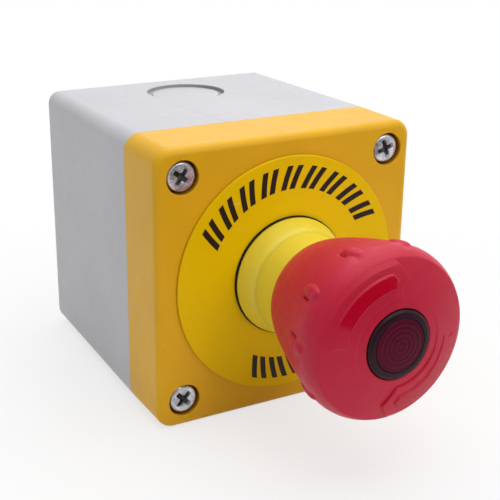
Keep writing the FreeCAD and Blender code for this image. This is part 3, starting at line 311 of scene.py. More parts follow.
def metal(name, colour, rough=0.3, bump_height=0.00001, dull=0.82, bare=1):
    """Plated or bare metal: streaks vary the gloss, faint stains dull the colour. A bare share under 1
    stands for a skin that wear has made partly matt."""
    made, tree, surface = new_finish(name)
    surface.inputs["Metallic"].default_value = bare
    plated = add(tree, "ShaderNodeGroup", {"Mean Roughness": rough}, node_tree=metal_group)
    shade = blend_colour(tree, plated.outputs["Stains"], tint(colour, dull), tint(colour, 1.06))
    dress(tree, surface, shade, plated.outputs["Roughness"], plated.outputs["Streaks"], bump_height)
    return made


# %% One finish for each material of the model
PLASTICS = {
    "base_grey": dict(colour=(0.555, 0.550, 0.580), rough=0.42, drift=0.03, Specular_IOR_Level=0.35),
    "cover_yellow": dict(colour=(0.83, 0.45, 0.012), rough=0.38, drift=0.04, specks=0.6, scratches=0.05,
                         Specular_IOR_Level=0.2),
    "legend_yellow": dict(colour=(0.88, 0.57, 0.001), rough=0.38, drift=0.03, scratches=0.2,
                          Specular_IOR_Level=0.09),
    "collar_yellow": dict(colour=(0.84, 0.68, 0.045), rough=0.4, drift=0.03),
    "black_rubber": dict(colour=(0.007, 0.007, 0.008), rough=0.7, Specular_IOR_Level=0.2),
    "block_dark": dict(colour=(0.045, 0.047, 0.05), rough=0.5),
    "holder_black": dict(colour=(0.022, 0.022, 0.024), rough=0.48),
    "pusher_white": dict(colour=(0.72, 0.72, 0.70), rough=0.4),
    "plunger_red": dict(colour=(0.55, 0.03, 0.025), rough=0.4),
    "bezel_dark": dict(colour=(0.022, 0.003, 0.009), rough=0.36, specks=0, scratches=0,
                       Specular_IOR_Level=0.18),
    "guide_clear": dict(colour=(0.80, 0.82, 0.83), rough=0.16),
    "lamp_white": dict(colour=(0.78, 0.76, 0.70), rough=0.3),
    "mark_ink": dict(colour=(0.020, 0.010, 0.007), rough=0.5, Specular_IOR_Level=0.2),
}
METALS = {
    "nut_steel": dict(colour=(0.60, 0.60, 0.61), rough=0.36),
    "spring_steel": dict(colour=(0.55, 0.55, 0.57), rough=0.28),
    "pin_steel": dict(colour=(0.62, 0.62, 0.64), rough=0.22),
    "contact_brass": dict(colour=(0.80, 0.58, 0.27), rough=0.3),
}
FINISHES = {name: plastic(name, **look) for name, look in PLASTICS.items()}
FINISHES |= {name: metal(name, **look) for name, look in METALS.items()}
print(f"{len(FINISHES)} finishes")

# %% [markdown]
# ## The red finish of the head
# The head is crimson plastic. The mould was polished where it forms the tops of the two arrows, and
# textured everywhere else, so the arrows are a little smoother. Their deeper red is painted shade: it
# stands in for the sheen that the polished tops lack. Two materials would meet in a hard line, so the
# head's skin carries one value for both, and one finish reads it.

# %% Head finish
def overlay(made, share_of, colour, rough):
    """Where a share is high, the finish turns to another colour and gloss. The share is built in the
    finish's own node tree."""
    tree = made.node_tree
    surface = tree.nodes["Principled BSDF"]
    share = share_of(tree)
    before = surface.inputs["Base Color"].links[0].from_socket
    tree.links.new(blend_colour(tree, share, before, colour), surface.inputs["Base Color"])
    gloss = surface.inputs["Roughness"].links[0].from_socket
    level = add(tree, "ShaderNodeMix", {0: share, 2: gloss, 3: rough})
    tree.links.new(level.outputs[0], surface.inputs["Roughness"])
    return made


def add_mask(made, mask, colour, rough):
    """An overlay whose share is a value that the piece's own skin carries."""
    return overlay(made, lambda tree: add(tree, "ShaderNodeAttribute", attribute_name=mask).outputs["Fac"],
                   colour, rough)


# The polish share gives the arrow tops a smoother gloss and a deeper red, which is painted shade.
FINISHES["head_red"] = add_mask(
    plastic("head_red", (0.57, 0.010, 0.042), rough=0.42, drift=0.05, specks=0.2, scratches=0,
            Specular_IOR_Level=0.28),
    "polish_and_shade", (0.54, 0.0005, 0.020, 1), 0.22)
print("head_red reads the polish of its skin")

# %% [markdown]
# ## The bell-shaped head
# The head is moulded in one piece: a face like part of a large ball, a round shoulder and a long flank
# that narrows to a rim. It could be turned from a drawn outline and then carved, but the carving would
# have to follow the curves. So one grid covers it all: rows follow the outline, heights come from formulas.

# %% Outline of the bell
FACE_TOP, FACE_CURVE, WIDE_R, WIDE_H = 46.51, 49.7, 20.12, 38.37
SHOULDER_IN, SHOULDER_UP = 6.0, 7.15
RIM_R, RIM_H, FLANK_POWER = 13.57, 15.54, 2 / 1.22


def face(r):
    """Height of the plain face: it falls with the square of the radius, like the cap of a ball."""
    return FACE_TOP - r**2 / (2 * FACE_CURVE)


def shoulder(r):
    """Height of the shoulder: a quarter ellipse out to the widest place, carried on inwards."""
    inner = WIDE_R - SHOULDER_IN
    share = np.clip((r - inner) / SHOULDER_IN, 0, 1)
    return WIDE_H + SHOULDER_UP * np.sqrt(1 - share**2) + np.clip(inner - r, 0, None)


def flank(h):
    """Radius of the flank: a quarter of a lean superellipse from the widest place to the rim."""
    share = np.clip((WIDE_H - h) / (WIDE_H - RIM_H), 0, 1)
    return RIM_R + (WIDE_R - RIM_R) * np.sqrt(1 - share ** (2 / FLANK_POWER)) ** FLANK_POWER


print(f"the bell is {2 * WIDE_R:.1f} mm wide and {2 * flank(RIM_H):.1f} mm at its rim")

# %% [markdown]
# ## Arrows and nubs
# Two arrows on the face show which way to turn the head. Each is a band that ramps up from nothing to
# a pointed front edge, with a raised pad along its middle. Ten nubs on the flank give the fingers a
# grip. Moulded edges are never sharp, so each step rises along a soft curve.

# %% Soft steps
def ease(value, start, stop):
    """Rises from 0 at start to 1 at stop, three squares less two cubes, with no corner at either end."""
    t = np.clip((value - start) / (stop - start), 0, 1)
    return t * t * (3 - 2 * t)


def soft_min(a, b, blend):
    """The lower of two heights, with the crease between them rounded over about the blend width."""
    share = np.clip(0.5 + 0.5 * (b - a) / blend, 0, 1)
    return b * (1 - share) + a * share - blend * share * (1 - share)


def swell(inside, width):
    """0 outside an edge, 1 from the width inwards, and a quarter ellipse between: a rolled edge."""
    return np.sqrt(1 - (1 - np.clip(inside / width, 0, 1)) ** 2)


print(f"a quarter of the way in: soft step {ease(0.25, 0, 1):.2f}, rolled edge {swell(0.25, 1):.2f}")

# %% Arrow relief
HALF_START, SHOULDER_BLEND = -130, 0.14
BAND_IN, BAND_OUT, BAND_RISE, BAND_TILT, BAND_ROLL = 10.4, 18.2, 0.21, 0.0295, 0.38
FADE_BEFORE, FADE_AFTER = 0.7, 0.5
EDGE_R, EDGE_TURN = (10.4, 14.8, 18.6), (-1, 10, -1)
PAD_IN, PAD_OUT, PAD_RISE, PAD_TILT, PAD_ROLL = 12.75, 16.2, 0.19, 0.0125, 0.36
PAD_TIP, PAD_NECK, PAD_TAIL, PAD_HOLLOW = -1.5, -6, -87, 3
POLISH_EDGE, POLISH_TURN = (0.1, 0.4), (-69, -61)


def pad_inside(r, turn):
    """How far a place lies inside an arrow's pad: a curved bar with a pointed front and a hollow tail."""
    aside = np.abs(r - (PAD_IN + PAD_OUT) / 2) / ((PAD_OUT - PAD_IN) / 2)
    ahead = np.radians(PAD_TIP + (PAD_NECK - PAD_TIP) * aside - turn) * r
    behind = np.radians(turn - PAD_TAIL - PAD_HOLLOW * (1 - aside**2)) * r
    return np.minimum(np.minimum(ahead, behind), np.minimum(r - PAD_IN, PAD_OUT - r))


def face_height(r, clock):
    """Height of the face with band and pad, cut off by the shoulder, and how polished it is there, where
    the finish also paints a deeper red as shade. Band and pad are planes over the face, tilted up towards the
    arrow's point."""
    turn = (clock - HALF_START) % 180 + HALF_START
    lead = r * np.cos(np.radians(turn - EDGE_TURN[1]))
    behind = np.radians(np.interp(r, EDGE_R, EDGE_TURN) - turn) * r
    rolled = swell(np.minimum(behind, r - BAND_IN), BAND_ROLL)
    band = np.clip(BAND_RISE + BAND_TILT * lead, 0, None) * rolled
    band = band * (1 - ease(r, BAND_OUT - FADE_BEFORE, BAND_OUT + FADE_AFTER))
    height = soft_min(face(r) + band, shoulder(r), SHOULDER_BLEND)
    pad = pad_inside(r, turn)
    height = height + swell(pad, PAD_ROLL) * (PAD_RISE + PAD_TILT * lead)
    return height, ease(pad, *POLISH_EDGE) * ease(turn, *POLISH_TURN)


pad_top = face_height(14.5, -8.0)[0] - face(14.5)
print(f"near its tip the pad stands {pad_top:.2f} mm over the plain face")

# %% Grip nubs
NUB_COUNT, NUB_TURN, NUB_H = 10, 18, 36.0
NUB_HALF_WIDE, NUB_HALF_LONG, NUB_TALL, NUB_POWER = 1.55, 3.2, 0.6, 0.6
DENT_V, DENT_WIDE, DENT_DEEP = 0.4, 0.3, 0.2
SLIT_U, SLIT_LOW, SLIT_LONG, SLIT_WIDE, SLIT_DEEP = -2.05, -2.3, 2.6, 0.3, 0.65
HOLLOW_U, HOLLOW_V, HOLLOW_WIDE, HOLLOW_DEEP = -1.2, 3.5, 1.0, 0.25
SWAP_TURN, SWAP_SPAN = 161, 89


def nub_rise(h, clock):
    """How far the flank stands out at a nub: an oval bump with a dent, a slit and a soft hollow.
    The slits face the nearer half of the mould, so they change sides from one half to the other."""
    pitch = 360 / NUB_COUNT
    turn = (clock - NUB_TURN + pitch / 2) % pitch - pitch / 2
    side = np.where((clock - turn + SWAP_TURN) % 180 > SWAP_SPAN, 1, -1)
    u, v = WIDE_R * np.radians(turn) * side, h - NUB_H
    oval = np.clip(1 - (u / NUB_HALF_WIDE) ** 2 - (v / NUB_HALF_LONG) ** 2, 0, None)
    rise = NUB_TALL * oval**NUB_POWER
    rise = rise - DENT_DEEP * np.exp(-(((v - DENT_V) / DENT_WIDE) ** 2)) * ease(oval, 0, 0.3)
    along = np.clip((v - SLIT_LOW) / SLIT_LONG, 0, 1)
    slit = np.hypot(u - SLIT_U, v - SLIT_LOW - SLIT_LONG * along)
    rise = rise - SLIT_DEEP * np.exp(-((slit / SLIT_WIDE) ** 2))
    away = ((u - HOLLOW_U) / HOLLOW_WIDE) ** 2 + ((v - HOLLOW_V) / HOLLOW_WIDE) ** 2
    return rise - HOLLOW_DEEP * np.exp(-away)


print(f"{NUB_COUNT} nubs, up to {nub_rise(NUB_H - 1, NUB_TURN):.2f} mm tall")

# %% [markdown]
# ## The grid of the head
# The rows lie close together where the outline turns sharply, and the columns where an arrow ends. The
# columns lean with the arrows' pointed fronts, so that an edge runs along faces and not across them.
# A finer grid all over would do the same with many more faces.

# %% Rows and columns
CAVITY_R, WEB_H, STEM_R, STEM_H = 12.9, 34.0, 8.97, 37.0
GUIDE_R, GUIDE_H, SEAT_R, SEAT_H, OPEN_R, LIP = 5.3, 40.0, 6.5, 42.0, 8.15, 0.3
SHOULDER_FROM, LEAN_IN, LEAN_OUT = 17.25, (-42, -16), (2, 28)


def run(*stops):
    """A line of values through stops; each stop after the first comes with its number of steps."""
    lines = [[stops[0]]]
    for stop, steps in stops[1:]:
        lines.append(np.linspace(lines[-1][-1], stop, steps + 1)[1:])
    return np.concatenate(lines)


half_turn = run(-42, (-14.5, 46), (-10, 22), (-2.6, 15), (0.6, 32), (28, 46), (138, 166))[:-1, None]
lip = np.radians(np.linspace(0, 90, 5))[:-1]
edge_r = OPEN_R + LIP * (1 - np.cos(lip))
face_r = run(8.45, (10.3, 5), (10.9, 9), (12.65, 4), (13.25, 9), (14.8, 4), (15.7, 3), (16.3, 9), (17.2, 3))
turn_in = np.radians(run(59, (36, 17), (0, 16)))
side_r = WIDE_R - SHOULDER_IN * (1 - np.cos(turn_in))
front_r = np.concatenate([edge_r, face_r, side_r[side_r > SHOULDER_FROM]])[None]
flank_h = run(WIDE_H, (32.2, 28), (RIM_H + 0.2, 14))[1:]
inside_line = np.array([
    (RIM_R - 0.15, RIM_H), (CAVITY_R + 0.1, RIM_H), (CAVITY_R, RIM_H + 0.1), (CAVITY_R, WEB_H - 0.3),
    (CAVITY_R - 0.3, WEB_H), (STEM_R, WEB_H), (STEM_R, STEM_H), (GUIDE_R, STEM_H), (GUIDE_R, GUIDE_H),
    (SEAT_R, GUIDE_H), (SEAT_R, SEAT_H), (OPEN_R, SEAT_H)])
rows = front_r.size + len(flank_h) + len(inside_line)
ahead = np.zeros(rows)
ahead[:front_r.size] = np.interp(front_r[0], EDGE_R, EDGE_TURN) - EDGE_TURN[0]
leaning = half_turn + ahead * ease(half_turn, *LEAN_IN) * (1 - ease(half_turn, *LEAN_OUT))
clock = np.concatenate([leaning, leaning + 180])
print(f"{len(clock)} columns that lean with the arrows' fronts, {rows} rows")

# %% Build the head
NUB_ROWS = 20


def each(count, values):
    """The same line of values, count times over."""
    return np.broadcast_to(np.asarray(values, float), (count, len(values)))


front_h, polish_and_shade = face_height(front_r, clock[:, :front_r.size])
front_h[:, :len(lip)] -= LIP * (1 - np.sin(lip))
columns = len(clock)
rows_r = np.hstack([each(columns, line) for line in (front_r[0], flank(flank_h), inside_line[:, 0])])
rows_h = np.hstack([front_h, each(columns, flank_h), each(columns, inside_line[:, 1])])
along_r, along_h = np.gradient(rows_r, axis=1), np.gradient(rows_h, axis=1)
row = np.arange(rows)
outer = (row > front_r.size - NUB_ROWS) & (row < rows - len(inside_line) - 1)
rise = nub_rise(rows_h, clock) * outer / np.hypot(along_r, along_h)
polish_and_shade = np.pad(polish_and_shade, ((0, 0), (0, rows - front_r.size)))
piece("head_shell", [skin(clock_point(rows_r - rise * along_h, rows_h + rise * along_r, clock))],
      "button", FINISHES["head_red"], ["mushroom_head"], crease=50, masks={"polish_and_shade": polish_and_shade})

# %% [markdown]
# ## Lens and bezel
# A lamp behind the head shines through a maroon lens. Fine rings moulded into the lens spread the
# light, so its height follows a gentle crown plus a small wave along the radius. The lighter and darker
# red in which the rings show from outside is painted light and shade. A dark ring with a full round edge
# holds the lens. Both are turned pieces, so an outline carried round the axis gives them whole.

# %% Lens finish
RING_PITCH, RINGS_FADE, RINGS_LEFT = 1.15, (5.0, 6.1), 0.1


def paint_ring_light_and_shade(made, colour, strength):
    """Painted light and shade of the rings: mixes a second colour in along the radius from the button's axis,
    as often as the rings.
    """
    tree = made.node_tree
    surface = tree.nodes["Principled BSDF"]
    flat = vector(tree, "MULTIPLY", object_place(tree), (1, 0, 1))
    radius = vector(tree, "LENGTH", flat)
    wave = calc(tree, "SINE", calc(tree, "MULTIPLY", radius, 2 * math.pi / (RING_PITCH * MM)))
    first, last = (r * MM for r in RINGS_FADE)
    inside = stretch(tree, first, last, radius, (strength, RINGS_LEFT * strength))
    share = calc(tree, "MULTIPLY", stretch(tree, -1, 1, wave), inside)
    before = surface.inputs["Base Color"].links[0].from_socket
    tree.links.new(blend_colour(tree, share, before, colour), surface.inputs["Base Color"])
    return made


# The lighter red of the rings is painted light.
FINISHES["lens_maroon"] = paint_ring_light_and_shade(
    plastic("lens_maroon", (0.075, 0.002, 0.015), rough=0.32, drift=0.2, specks=0, scratches=0,
            Specular_IOR_Level=0.08),
    (0.18, 0.006, 0.038, 1), 0.40)
print("lens_maroon has a ring every", RING_PITCH, "mm")

# %% Bezel
BEZEL_R, BEZEL_BORE, BEZEL_LIP_R, BEZEL_STEP = 8.0, 6.25, 5.6, 1
BEZEL_ROUND, BORE_ROUND, LENS_TOP, LENS_CURVE = 0.8, 0.12, 46.78, 0.0072


def rounded(corners, radii, steps):
    """A line of (r, h) corners where each corner becomes an arc that touches both of its runs."""
    line = []
    for k, (corner, radius) in enumerate(zip(corners, radii)):
        corner = np.array(corner, float)
        if radius == 0:
            line.append(corner[None])
            continue
        back = np.array(corners[k - 1], float) - corner
        on = np.array(corners[(k + 1) % len(corners)], float) - corner
        back, on = back / np.linalg.norm(back), on / np.linalg.norm(on)
        half = math.acos(np.clip(back @ on, -1, 1)) / 2
        middle = corner + (back + on) / np.linalg.norm(back + on) * radius / math.sin(half)
        first = corner + back * radius / math.tan(half) - middle
        last = corner + on * radius / math.tan(half) - middle
        swing = np.linspace(0, 1, steps + 1)[:, None]
        whole = math.pi - 2 * half
        arc = (np.sin((1 - swing) * whole) * first + np.sin(swing * whole) * last) / math.sin(whole)
        line.append(middle + arc)
    return np.vstack(line)


def lens_dome(r):
    """Height of the flat dome that lens and bezel share: it falls with the square of the radius."""
    return LENS_TOP - LENS_CURVE * r**2


def bezel_skin():
    """A ring: its closed outline, with a full round outer edge, carried once round the button's axis."""
    line = rounded(
        [(BEZEL_LIP_R, SEAT_H), (BEZEL_R, SEAT_H), (BEZEL_R, lens_dome(BEZEL_R)),
         (BEZEL_BORE, lens_dome(BEZEL_BORE)), (BEZEL_BORE, SEAT_H + BEZEL_STEP),
         (BEZEL_LIP_R, SEAT_H + BEZEL_STEP)],
        [0, 0, BEZEL_ROUND, BORE_ROUND, 0, 0], steps=9)
    clock = np.linspace(0, 360, 160, endpoint=False)
    return skin(clock_point(line[:, 0], line[:, 1], clock[:, None]))


piece("lens_ring", [bezel_skin()], "button", FINISHES["bezel_dark"], ["lens_bezel"])

# %% Lens
LENS_R, LENS_FOOT, RING_TALL = 6.15, SEAT_H + 1.05, 0.02


def lens_skin():
    """A disc: the dome plus a sine wave along the radius, then a broken edge, a side and a flat foot,
    carried once round the button's axis."""
    r = np.linspace(0, LENS_R - 0.2, 72)
    h = lens_dome(r) + RING_TALL * np.sin(2 * np.pi * r / RING_PITCH)
    side = lens_dome(LENS_R)
    edge = np.array([(LENS_R - 0.06, side - 0.04), (LENS_R, side - 0.15), (LENS_R, LENS_FOOT),
                     (0, LENS_FOOT)])
    line = np.vstack([np.column_stack([r, h]), edge])
    clock = np.linspace(0, 360, 144, endpoint=False)[:, None]
    return skin(clock_point(line[:, 0], line[:, 1], clock), round_columns=False)


piece("ringed_lens", [lens_skin()], "button", FINISHES["lens_maroon"], ["lens"])

# %% [markdown]
# ## Cover screws
# Four pan-head screws hold the cover. The head is cold-formed: a punch presses the cross recess, whose
# arms get shallower towards their ends. The shank is rolled between dies, so its thread is a ridge
# that climbs one pitch per turn: the radius follows a wave of height plus turn. Cutting the recess out
# of a disc would leave ragged faces, so the recess is a depth on the same grid.

# %% Cover screws
SCREW_PLACE, SCREW_TOP = 28.1, -0.5
PAN_R, PAN_TALL, CROWN, EDGE_ROUND, UNDER_ROUND = 3.6, 2.4, 0.32, 0.6, 0.15
ARM_HALF, ARM_REACH, RECESS_DEEP = 0.55, 2.35, 1.7
SHANK_R, SHANK_LONG, PITCH, THREAD_DEEP, THREAD_STEPS, TIP_SHARE = 1.75, 26.0, 1.0, 0.3, 26 * 5 + 1, 0.45


def screw_skin(x, z, spin):
    """Dome, side, seat, threaded shank and tip as one skin about the screw's own axis, and a mask of
    its recess, which the finish paints dark as shade and grime. The crown falls with the square of the radius
    and ends in a quarter round."""
    turn = np.radians(np.linspace(0, 360, 120, endpoint=False))[:, None]
    top_r = run(0, (2.5, 40), (PAN_R - EDGE_ROUND, 3), (PAN_R, 8))
    edge = np.clip((top_r - PAN_R + EDGE_ROUND) / EDGE_ROUND, 0, 1)
    dome_h = SCREW_TOP - CROWN * (top_r / PAN_R) ** 2 - EDGE_ROUND * (1 - np.sqrt(1 - edge**2))
    across = np.minimum(np.abs(top_r * np.cos(turn + spin)), np.abs(top_r * np.sin(turn + spin)))
    arm = 1 - ease(across, ARM_HALF * 0.85, ARM_HALF * 1.15)
    reach = np.clip(1 - top_r / ARM_REACH, 0, 1) ** 0.5
    recess = reach * np.maximum(arm, 1 - ease(top_r, 0.6, 1.2))
    shank = np.linspace(0, SHANK_LONG, THREAD_STEPS)
    seat = SCREW_TOP - PAN_TALL
    ridge = 0.5 + 0.5 * np.cos(2 * np.pi * shank / PITCH - turn)
    cut = ease(shank, 1.0, 2.5)
    tip = 1 - TIP_SHARE * ease(shank, SHANK_LONG - 1, SHANK_LONG)
    shank_r = (SHANK_R - THREAD_DEEP * cut * (1 - ridge)) * tip
    count = len(turn)
    r = np.hstack([each(count, top_r), each(count, [PAN_R, PAN_R - UNDER_ROUND]), shank_r, each(count, [0])])
    h = np.hstack([dome_h - RECESS_DEEP * recess, each(count, [seat + UNDER_ROUND, seat]),
                   each(count, seat - shank), each(count, [seat - SHANK_LONG])])
    points = np.stack([x + r * np.sin(turn), -(FRONT + h), z + r * np.cos(turn)], axis=-1)
    mask = np.pad(ease(recess, 0.15, 0.45), ((0, 0), (0, r.shape[1] - top_r.size)))
    return skin(points, round_columns=False), mask.ravel()


# In the recess the finish turns nearly black: painted shade, with some grime.
FINISHES["screw_recess"] = add_mask(
    metal("screw_recess", (0.80, 0.82, 0.88), rough=0.30, bump_height=0.000002, dull=0.40, bare=0.6),
    "recess", (0.05, 0.048, 0.05, 1), 0.5)
spins = {(-1, 1): 37, (1, 1): -19, (-1, -1): 45, (1, -1): 12}
screws = [screw_skin(sx * SCREW_PLACE, sz * SCREW_PLACE, -math.radians(spin))
          for (sx, sz), spin in spins.items()]
piece("cross_screws", [screw for screw, _ in screws], "enclosure", FINISHES["screw_recess"],
      ["cover_screws"], crease=50, masks={"recess": np.concatenate([m for _, m in screws])})

# %% [markdown]
# ## Legend plate and its marks
# A thin round plate lies between collar and cover. It is cut from sheet, and its edge is a little
# broken in front and cut back behind, where the shade under the edge is painted dark. A small notch
# keeps it from turning. A plain printed pattern of slanted strokes marks it. Print could be a colour
# on the plate, but screen ink lies on top, so each stroke is a thin skin of ink.

# %% Legend plate
PLATE_R, PLATE_TALL, HOLE_R, NOTCH_R, NOTCH_HALF = 30.0, 0.8, 11.15, 12.95, 1.6
UNDERCUT, UNDERCUT_SHADE_TALL, BROKEN, NOTCH_SIDES = 0.45, 0.2, 0.28, [8.17, 8.3, 351.7, 351.83]
# Under the cut-back edge the plate turns nearly black: painted shade.
add_mask(FINISHES["legend_yellow"], "undercut_shade", (0.012, 0.010, 0.008, 1), 0.6)


def plate_skin():
    """A disc with a hole: foot, cut-back edge, quarter round and top carried round the axis, where the
    hole's radius is larger in the notch. Gives back a mask of the painted shade at the foot of the edge too."""
    clock = np.sort(np.concatenate([np.linspace(0, 360, 256, endpoint=False), NOTCH_SIDES]))
    notched = np.abs(HOLE_R * np.sin(np.radians(clock))) < NOTCH_HALF
    notched &= np.cos(np.radians(clock)) > 0
    bore = np.where(notched, NOTCH_R, HOLE_R)[:, None]
    swing = np.radians(np.linspace(0, 90, 6))
    rim_r = np.concatenate([[PLATE_R - UNDERCUT, PLATE_R - UNDERCUT, PLATE_R],
                            PLATE_R - BROKEN * (1 - np.cos(swing))])
    rim_h = np.concatenate([[0.0, 0.19, 0.3], PLATE_TALL - BROKEN * (1 - np.sin(swing))])
    r = np.hstack([bore, each(len(clock), rim_r), bore])
    h = np.concatenate([[0.0], rim_h, [PLATE_TALL]])
    undercut_shade = np.broadcast_to(h < UNDERCUT_SHADE_TALL, r.shape).astype(float)
    return skin(clock_point(r, h, clock[:, None])), undercut_shade


plate, undercut_shade = plate_skin()
piece("legend_disc", [plate], "enclosure", FINISHES["legend_yellow"], ["legend_plate"],
      crease=30, masks={"undercut_shade": undercut_shade})

# %% Marks on the legend plate
MARK_IN, MARK_OUT, MARK_WIDE, MARK_LEAN, INK, SUNK = 21.9, 27.6, 1.5, 5.0, 0.05, -0.02


def mark_skin(middle, lean):
    """A slanted stroke: its clock angle leans with the radius. Both ends close on one point each."""
    r = np.linspace(MARK_IN, MARK_OUT, 9)
    half = np.degrees(MARK_WIDE / 2 / r)
    slant = lean * ((r - MARK_IN) / (MARK_OUT - MARK_IN) - 0.5)
    side = np.array([-1, -1, 1, 1])[:, None]
    height = PLATE_TALL + np.array([SUNK, INK, INK, SUNK])[:, None]
    tube = clock_point(r, height, middle + slant + side * half)
    first, last = (np.broadcast_to(tube[:, [k]].mean(axis=0), (4, 1, 3)) for k in (0, -1))
    return skin(np.concatenate([first, tube, last], axis=1), round_columns=False)


strokes = [mark_skin(middle + aside, lean)
           for middles, lean in ((np.linspace(-57, 57, 9), MARK_LEAN), (np.linspace(161, 199, 4), -MARK_LEAN))
           for middle in middles for aside in (-3, 3)]
piece("legend_strokes", strokes, "enclosure", FINISHES["mark_ink"], crease=30)

# %% [markdown]
# ## Round-wire springs
# A compression spring is wire wound on a mandrel. The skin is a tube along a helix that climbs more
# slowly at both ends, as closed end coils do. When the button goes in, the real spring flattens towards
# the end that rests; this piece keeps its rest shape. A curve with a round bevel would look the same,
# but a formula keeps the ends closed.

# %% Springs
def spring_skin(x, low, high, r, wire, pitch, sides=10):
    """A tube of round wire along a helix whose climb eases in and out at its two ends."""
    turns = max(2, round((high - low) / pitch))
    t = np.linspace(0, 1, turns * 36 + 1)
    bend = np.radians(360) * turns * t
    climb = low + wire + (high - low - 2 * wire) * ease(t, -0.02, 1.02)
    middle = np.stack([x + r * np.sin(bend), -climb, r * np.cos(bend)], axis=-1)
    along = np.gradient(middle, axis=0)
    along /= np.linalg.norm(along, axis=1, keepdims=True)
    outward_way = np.stack([np.sin(bend), 0 * bend, np.cos(bend)], axis=-1)
    side_way = np.cross(along, outward_way)
    side_way /= np.linalg.norm(side_way, axis=1, keepdims=True)
    roll = np.radians(np.linspace(0, 360, sides, endpoint=False))[None, :, None]
    size = np.where((t == 0) | (t == 1), 0.0, wire)[:, None, None]
    round_wire = np.cos(roll) * outward_way[:, None] + np.sin(roll) * side_way[:, None]
    return skin(middle[:, None] + size * round_wire, round_rows=False)


return_skin = spring_skin(x=0, low=93.05, high=107.95, r=10.8, wire=0.55, pitch=3.45)
coils = piece("return_coils", [return_skin], "enclosure", FINISHES["spring_steel"], ["return_spring"])
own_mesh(coils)
for side, x in (("left", -11), ("right", 11)):
    contact_skin = spring_skin(x, low=15.05, high=29.8, r=1.95, wire=0.28, pitch=2.9)
    coils = piece(f"contact_coils_{side}", [contact_skin], "enclosure", FINISHES["spring_steel"],
                  [f"contact_spring_{side}"])
    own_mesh(coils)

# %% [markdown]
# ## Latch ring
# A split ring of spring wire presses two latch pins inwards. When the button goes in, a cone drives the
# pins out and the ring opens into an oval. Each half of the ring is its own piece that rides on no body,
# and both keep their rest shape.

# %% Latch ring
LATCH_R, LATCH_WIRE, LATCH_H, LATCH_STEPS = 10.75, 0.4, 54.5 - FRONT, 65


def arc_skin(first, last):
    """Round wire along an arc about the button's axis, between two clock angles, with flat ends."""
    clock = np.pad(np.linspace(first, last, LATCH_STEPS), 1, mode="edge")[:, None]
    wire = np.pad(np.full(LATCH_STEPS, LATCH_WIRE), 1)[:, None]
    roll = np.radians(np.linspace(0, 360, 12, endpoint=False))
    r, h = LATCH_R + wire * np.cos(roll), LATCH_H + wire * np.sin(roll)
    return skin(clock_point(r, h, clock), round_rows=False)


for side, arc, up in (("upper", (-88, 89.9), 1), ("lower", (90.1, 268), -1)):
    half = piece(f"latch_ring_{side}", [arc_skin(*arc)], None, FINISHES["spring_steel"], ["latch_ring"])
    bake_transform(half)

# %% [markdown]
# ## Marks and painted shade on the box
# The four screw seats are painted dark as shade with some dirt, the grooves of the cable knockouts are
# painted dark as shade, and a fine line runs over the top wall. They are too fine for the mesh, so
# each is a share that the finish reads from the place on the box.

# %% Shares of the marks
SEAT_EDGE, SEAT_DEPTH = (4.3, 4.0), (0.1, 0.7)
LINE_WAY, LINE_OFF, LINE_EDGE, LINE_SHARE = (0.994, 0.107, 0), 13.77, (0.10, 0.04), 0.65
LINE_Y, LINE_Z = (-20, -27), (30, 31)
KNOCK_Y, KNOCK_R, GROOVE_SHADE = -17.5, 9.2, 0.55
GROOVE_OUT, GROOVE_TOP, GROOVE_FLOOR = (10.9, 10.8), (34.0, 33.9), (33.0, 33.1)


def between(tree, stops, value, to=(0.0, 1.0)):
    """Rises from one stop to the other, both in millimetres, cut off at both ends."""
    return stretch(tree, stops[0] * MM, stops[1] * MM, value, to)


def product(tree, first, *others):
    """All the shares multiplied."""
    for other in others:
        first = calc(tree, "MULTIPLY", first, other)
    return first


def seat_shade_and_dirt(tree):
    """Painted shade with some dirt: 1 in the four screw seats, near a screw's axis and behind the front face,
    else 0.
    """
    place = object_place(tree)
    screw = (SCREW_PLACE * MM, 0, SCREW_PLACE * MM)
    from_screw = vector(tree, "SUBTRACT", vector(tree, "ABSOLUTE", place), screw)
    near = between(tree, SEAT_EDGE, vector(tree, "LENGTH", vector(tree, "MULTIPLY", from_screw, (1, 0, 1))))
    depth = add(tree, "ShaderNodeSeparateXYZ", {"Vector": place}).outputs["Y"]
    return product(tree, near, between(tree, [deep - FRONT for deep in SEAT_DEPTH], depth))


def hairline_share(tree):
    """A share along a fine straight line on the top wall, from the knockout to the seam, else 0."""
    place = object_place(tree)
    off = calc(tree, "ADD", vector(tree, "DOT_PRODUCT", place, LINE_WAY), LINE_OFF * MM)
    on_line = between(tree, LINE_EDGE, calc(tree, "ABSOLUTE", off), (0, LINE_SHARE))
    parts = add(tree, "ShaderNodeSeparateXYZ", {"Vector": place}).outputs
    return product(tree, on_line, between(tree, LINE_Y, parts["Y"]), between(tree, LINE_Z, parts["Z"]))


def groove_shade(tree):
    """Painted shade in the grooves of the two knockouts: a share there, else 0."""
    place = object_place(tree)
    away = vector(tree, "DISTANCE", vector(tree, "MULTIPLY", place, (1, 1, 0)), (0, KNOCK_Y * MM, 0))
    height = calc(tree, "ABSOLUTE", add(tree, "ShaderNodeSeparateXYZ", {"Vector": place}).outputs["Z"])
    groove = between(tree, (KNOCK_R - 0.15, KNOCK_R), away, (0, GROOVE_SHADE))
    return product(tree, groove, between(tree, GROOVE_OUT, away), between(tree, GROOVE_TOP, height),
                   between(tree, GROOVE_FLOOR, height))


# Painted shade and some dirt darken the screw seats.
overlay(FINISHES["cover_yellow"], seat_shade_and_dirt, (0.20, 0.055, 0.004, 1), 0.6)
# Painted shade darkens the knockout grooves.
overlay(FINISHES["base_grey"], groove_shade, (0.21, 0.205, 0.17, 1), 0.6)
overlay(FINISHES["base_grey"], hairline_share, (0.22, 0.22, 0.30, 1), 0.5)
